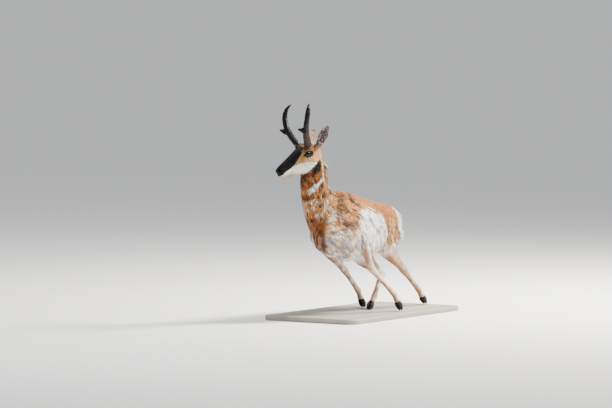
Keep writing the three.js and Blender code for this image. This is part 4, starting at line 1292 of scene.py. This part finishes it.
def make_eyes():
    material, nodes, links, shader = new_material("eye")
    grain = add_noise(nodes, links, 320, 3)
    colour = ramp(nodes, links, grain, (0.002, 0.0015, 0.0015), (0.010, 0.005, 0.003))
    links.new(colour, shader.inputs["Base Color"])
    links.new(spread(nodes, links, grain, 0.04, 0.12), shader.inputs["Roughness"])
    set_inputs(shader, {"Specular IOR Level": 0.2, "Coat Weight": 0.1, "Coat Roughness": 0.05})
    points, corners, starts = ball(48, 32)
    bulge = 1 + 0.045 * step(0.62, 0.9, points[:, 2])
    for word, side in SIDES:
        axis, _, above = eye_axes(side)
        basis = np.stack([np.cross(above, axis), above, axis], axis=1)
        places = (points * (bulge * (EYE_RADIUS - 0.2))[:, None]) @ basis.T + EYE * [side, 1, 1]
        piece = new_piece(f"eyeball_{word}", from_head(places), corners, starts)
        give(piece, material, "eye", f"eye_{word}")


make_eyes()


# Horns and hooves: the solids, rounded and given their grain

def rounded(node, voxel, rounds, inward):
    """A solid's surface on a grid, smoothed: its points, its faces and the ways out"""
    points, _, quads = level(solid_surface([node]), voxel, -inward, band=4)
    quads = facing_out(points, quads)
    points = smoothed(points, edges_of(quads), rounds, 1.0, shrink=False)
    return points, quads, normals_of(points, np.vstack([quads[:, [0, 1, 2]], quads[:, [0, 2, 3]]]))


def quad_piece(name, points, quads, colours):
    return new_piece(name, points, quads.ravel(), np.arange(len(quads)) * 4, colours)


def make_horns():
    material = painted_material("horn", (0.28, 0.55), 0.0, 520, 0.0005, 0.22)
    for word, side in SIDES:
        node = f"horn_{word}"
        points, quads, normals = rounded(node, 1.5, 14, 0.2)
        chain = from_head((HORN_LINE + HORN_BASE) * [side, 1, 1])
        place, nearest, way, _ = along_chain(points, chain)
        share = place / (len(chain) - 1)
        off = unit(points - nearest)
        ahead = unit(np.cross(way, HEAD_TURN @ np.array([1.0, 0, 0])))
        around = np.arctan2(np.sum(off * np.cross(ahead, way), axis=1), np.sum(off * ahead, axis=1))
        flutes = np.stack([np.cos(around) * 5, np.sin(around) * 5, share * 7], axis=1)
        rough = noise(flutes, 1.0, 61) + 0.6 * noise(flutes * [2.2, 2.2, 1.4], 1.0, 62)
        rings = noise(np.stack([share * 46, 0 * share, 0.6 * np.cos(around)], axis=1), 1.0, 63)
        depth = (0.9 * rough + 0.45 * rings) * step(0.9, 0.35, share) + 0.35 * noise(points / MM, 6, 64)
        warts = np.maximum(noise(points / MM, 7, 65) - 0.25, 0) * 3.2 * step(0.34, 0.12, share)
        points = points + normals * ((depth + warts - 0.5) * MM)[:, None]
        # Painted light and shade on the black horns: the left horn's lower part brown as where sun falls on
        # it, the right horn's bluish black as in shade
        brown, wear_and_shine = ("271c11", 0.1) if side > 0 else ("131217", 0.6)
        colours = np.tile(linear("0a090c"), (len(points), 1))
        for tint, amount in (
            (brown, 0.85 * step(0.62, 0.3, share + 0.06 * noise(points / MM, 20, 66))),
            ("40362c", 0.4 * step(0.3, 0.9, rough) * step(0.7, 0.3, share)),
            ("8d8377", 0.35 * step(0.93, 1.0, share)),
            # Pale grey near the horn's base: partly real wear, partly a painted shine, strongest on the
            # right horn
            ("8f8b8c", wear_and_shine * hill(share, 0.16, 0.09) * step(0.0, 0.7, rough)),
        ):
            colours = mix(colours, linear(tint), amount)
        piece = quad_piece(f"horn_sheath_{word}", points, quads, colours)
        give(piece, material, "horn", node)


def make_hooves():
    material = painted_material("hoof", (0.3, 0.6), 0.0, 700, 0.0003, 0.2)
    for leg in LIMBS:
        chain = LEG_CHAINS[leg]
        way = unit(chain[5] - chain[4])
        for word in ("outer", "inner"):
            node = f"hoof_{leg}_{word}"
            points, quads, normals = rounded(node, 1.3, 8, 0.1)
            share = (points - chain[4]) @ way / MM / BONES["fore"][4]
            rings = noise(np.stack([share * 14, 0 * share, points[:, 0] * 30], axis=1), 1.0, 71)
            low = points[:, 2] < BASE_TOP + 0.0015
            points = points + normals * (np.where(low, 0, 0.35 * rings - 0.2) * MM)[:, None]
            points[:, 2] = np.maximum(points[:, 2], BASE_TOP + 0.0001)
            colours = np.tile(linear("241f1e"), (len(points), 1))
            colours = mix(colours, linear("4b4038"), 0.5 * step(0.2, 0.8, rings))
            colours = mix(colours, linear("8c7c66"), 0.4 * step(BASE_TOP + 0.012, BASE_TOP, points[:, 2]))
            piece = quad_piece(f"claw_{leg}_{word}", points, quads, colours)
            give(piece, material, "hoof", node)


make_horns()
make_hooves()


# Base: painted wood, matt, with a faint grain

def dress_base():
    material, nodes, links, shader = new_material("painted_board")
    grain = add_noise(nodes, links, 9, 6, (1, 0.08, 1))
    grit = add_noise(nodes, links, 420, 3)
    colour = ramp(nodes, links, grain, linear("8d877d"), linear("a39c90"), (0.3, 0.75))
    links.new(varied(nodes, links, colour, grit, 0.94, 1.06), shader.inputs["Base Color"])
    links.new(spread(nodes, links, grit, 0.55, 0.75), shader.inputs["Roughness"])
    add_bump(nodes, links, shader, [(grain, 0.0008), (grit, 0.0002)], 0.4)
    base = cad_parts["stand_base"]
    for slot in base.material_slots:
        slot.material = material
    if not base.material_slots:
        base.data.materials.append(material)


dress_base()


# Floor, light and camera

FLOOR_SHADE = 0.8
FLOOR_HALF_SIZE = 400
FLOOR_DEPTH = 0.0005
WORLD_COLOUR = (0.92, 0.935, 0.955, 1)
WORLD_STRENGTH = 0.62


def make_floor():
    """A pale floor that glows a little, so far off it is as bright as the studio behind it"""
    corners = np.array([[-1, -1, 0], [1, -1, 0], [1, 1, 0], [-1, 1, 0]])
    floor = new_piece("floor", corners * FLOOR_HALF_SIZE - [0, 0, FLOOR_DEPTH], np.arange(4), np.array([0]))
    material, nodes, links, shader = new_material("pale_floor")
    shades = ([FLOOR_SHADE + change] * 3 for change in (-0.008, 0.008))
    links.new(ramp(nodes, links, add_noise(nodes, links, 3, 4), *shades), shader.inputs["Base Color"])
    set_inputs(shader, {
        "Roughness": 1.0,
        "Specular IOR Level": 0.0,
        "Emission Color": WORLD_COLOUR,
        "Emission Strength": WORLD_STRENGTH * (1 - FLOOR_SHADE),
    })
    floor.data.materials.append(material)


def camera_axes():
    a, e = math.radians(CAMERA_AZIMUTH), math.radians(CAMERA_ELEVATION)
    back = np.array([math.sin(a) * math.cos(e), -math.cos(a) * math.cos(e), math.sin(e)])
    right = np.array([math.cos(a), math.sin(a), 0])
    return right, np.cross(back, right), back


def put(name, data, place, away):
    """A camera or a lamp at a place, that looks the other way from away"""
    thing = bpy.data.objects.new(name, data)
    bpy.context.scene.collection.objects.link(thing)
    thing.location = place
    thing.rotation_euler = Vector(away).to_track_quat("Z", "Y").to_euler()
    return thing


def make_camera():
    right, up, back = camera_axes()
    aim = WITHERS - right * AIM_LEFT_OF_WITHERS - up * AIM_BELOW_WITHERS
    data = bpy.data.cameras.new("camera")
    data.lens = CAMERA_LENS
    data.sensor_width = 36
    data.clip_end = 1000
    bpy.context.scene.camera = put("camera", data, aim + back * CAMERA_DISTANCE, back)


LAMPS = [
    # name, side of the camera's view, height, towards the camera, size, watts, colour
    ("key", 3.5, 3.5, -1.1, 1.5, 1350, (1.0, 0.95, 0.88)),
    ("fill", -2.6, 2.2, 3.4, 3.0, 30, (0.88, 0.93, 1.0)),
    ("top", 0.6, 4.4, -0.9, 2.4, 200, (1.0, 0.97, 0.92)),
]


def make_lights():
    right, _, back = camera_axes()
    middle = np.array([0, 0.05, 0.6])
    level_back = unit(back * [1, 1, 0])
    for name, sideways, height, nearer, size, power, colour in LAMPS:
        data = bpy.data.lights.new(name, "AREA")
        data.shape = "DISK"
        data.size = size
        data.energy = power
        data.color = colour
        way = right * sideways + level_back * nearer + np.array([0, 0, height])
        put(name, data, middle + way, way)
    world = bpy.data.worlds.new("studio")
    world.use_nodes = True
    set_inputs(world.node_tree.nodes["Background"], {"Color": WORLD_COLOUR, "Strength": WORLD_STRENGTH})
    bpy.context.scene.world = world


make_floor()
make_camera()
make_lights()
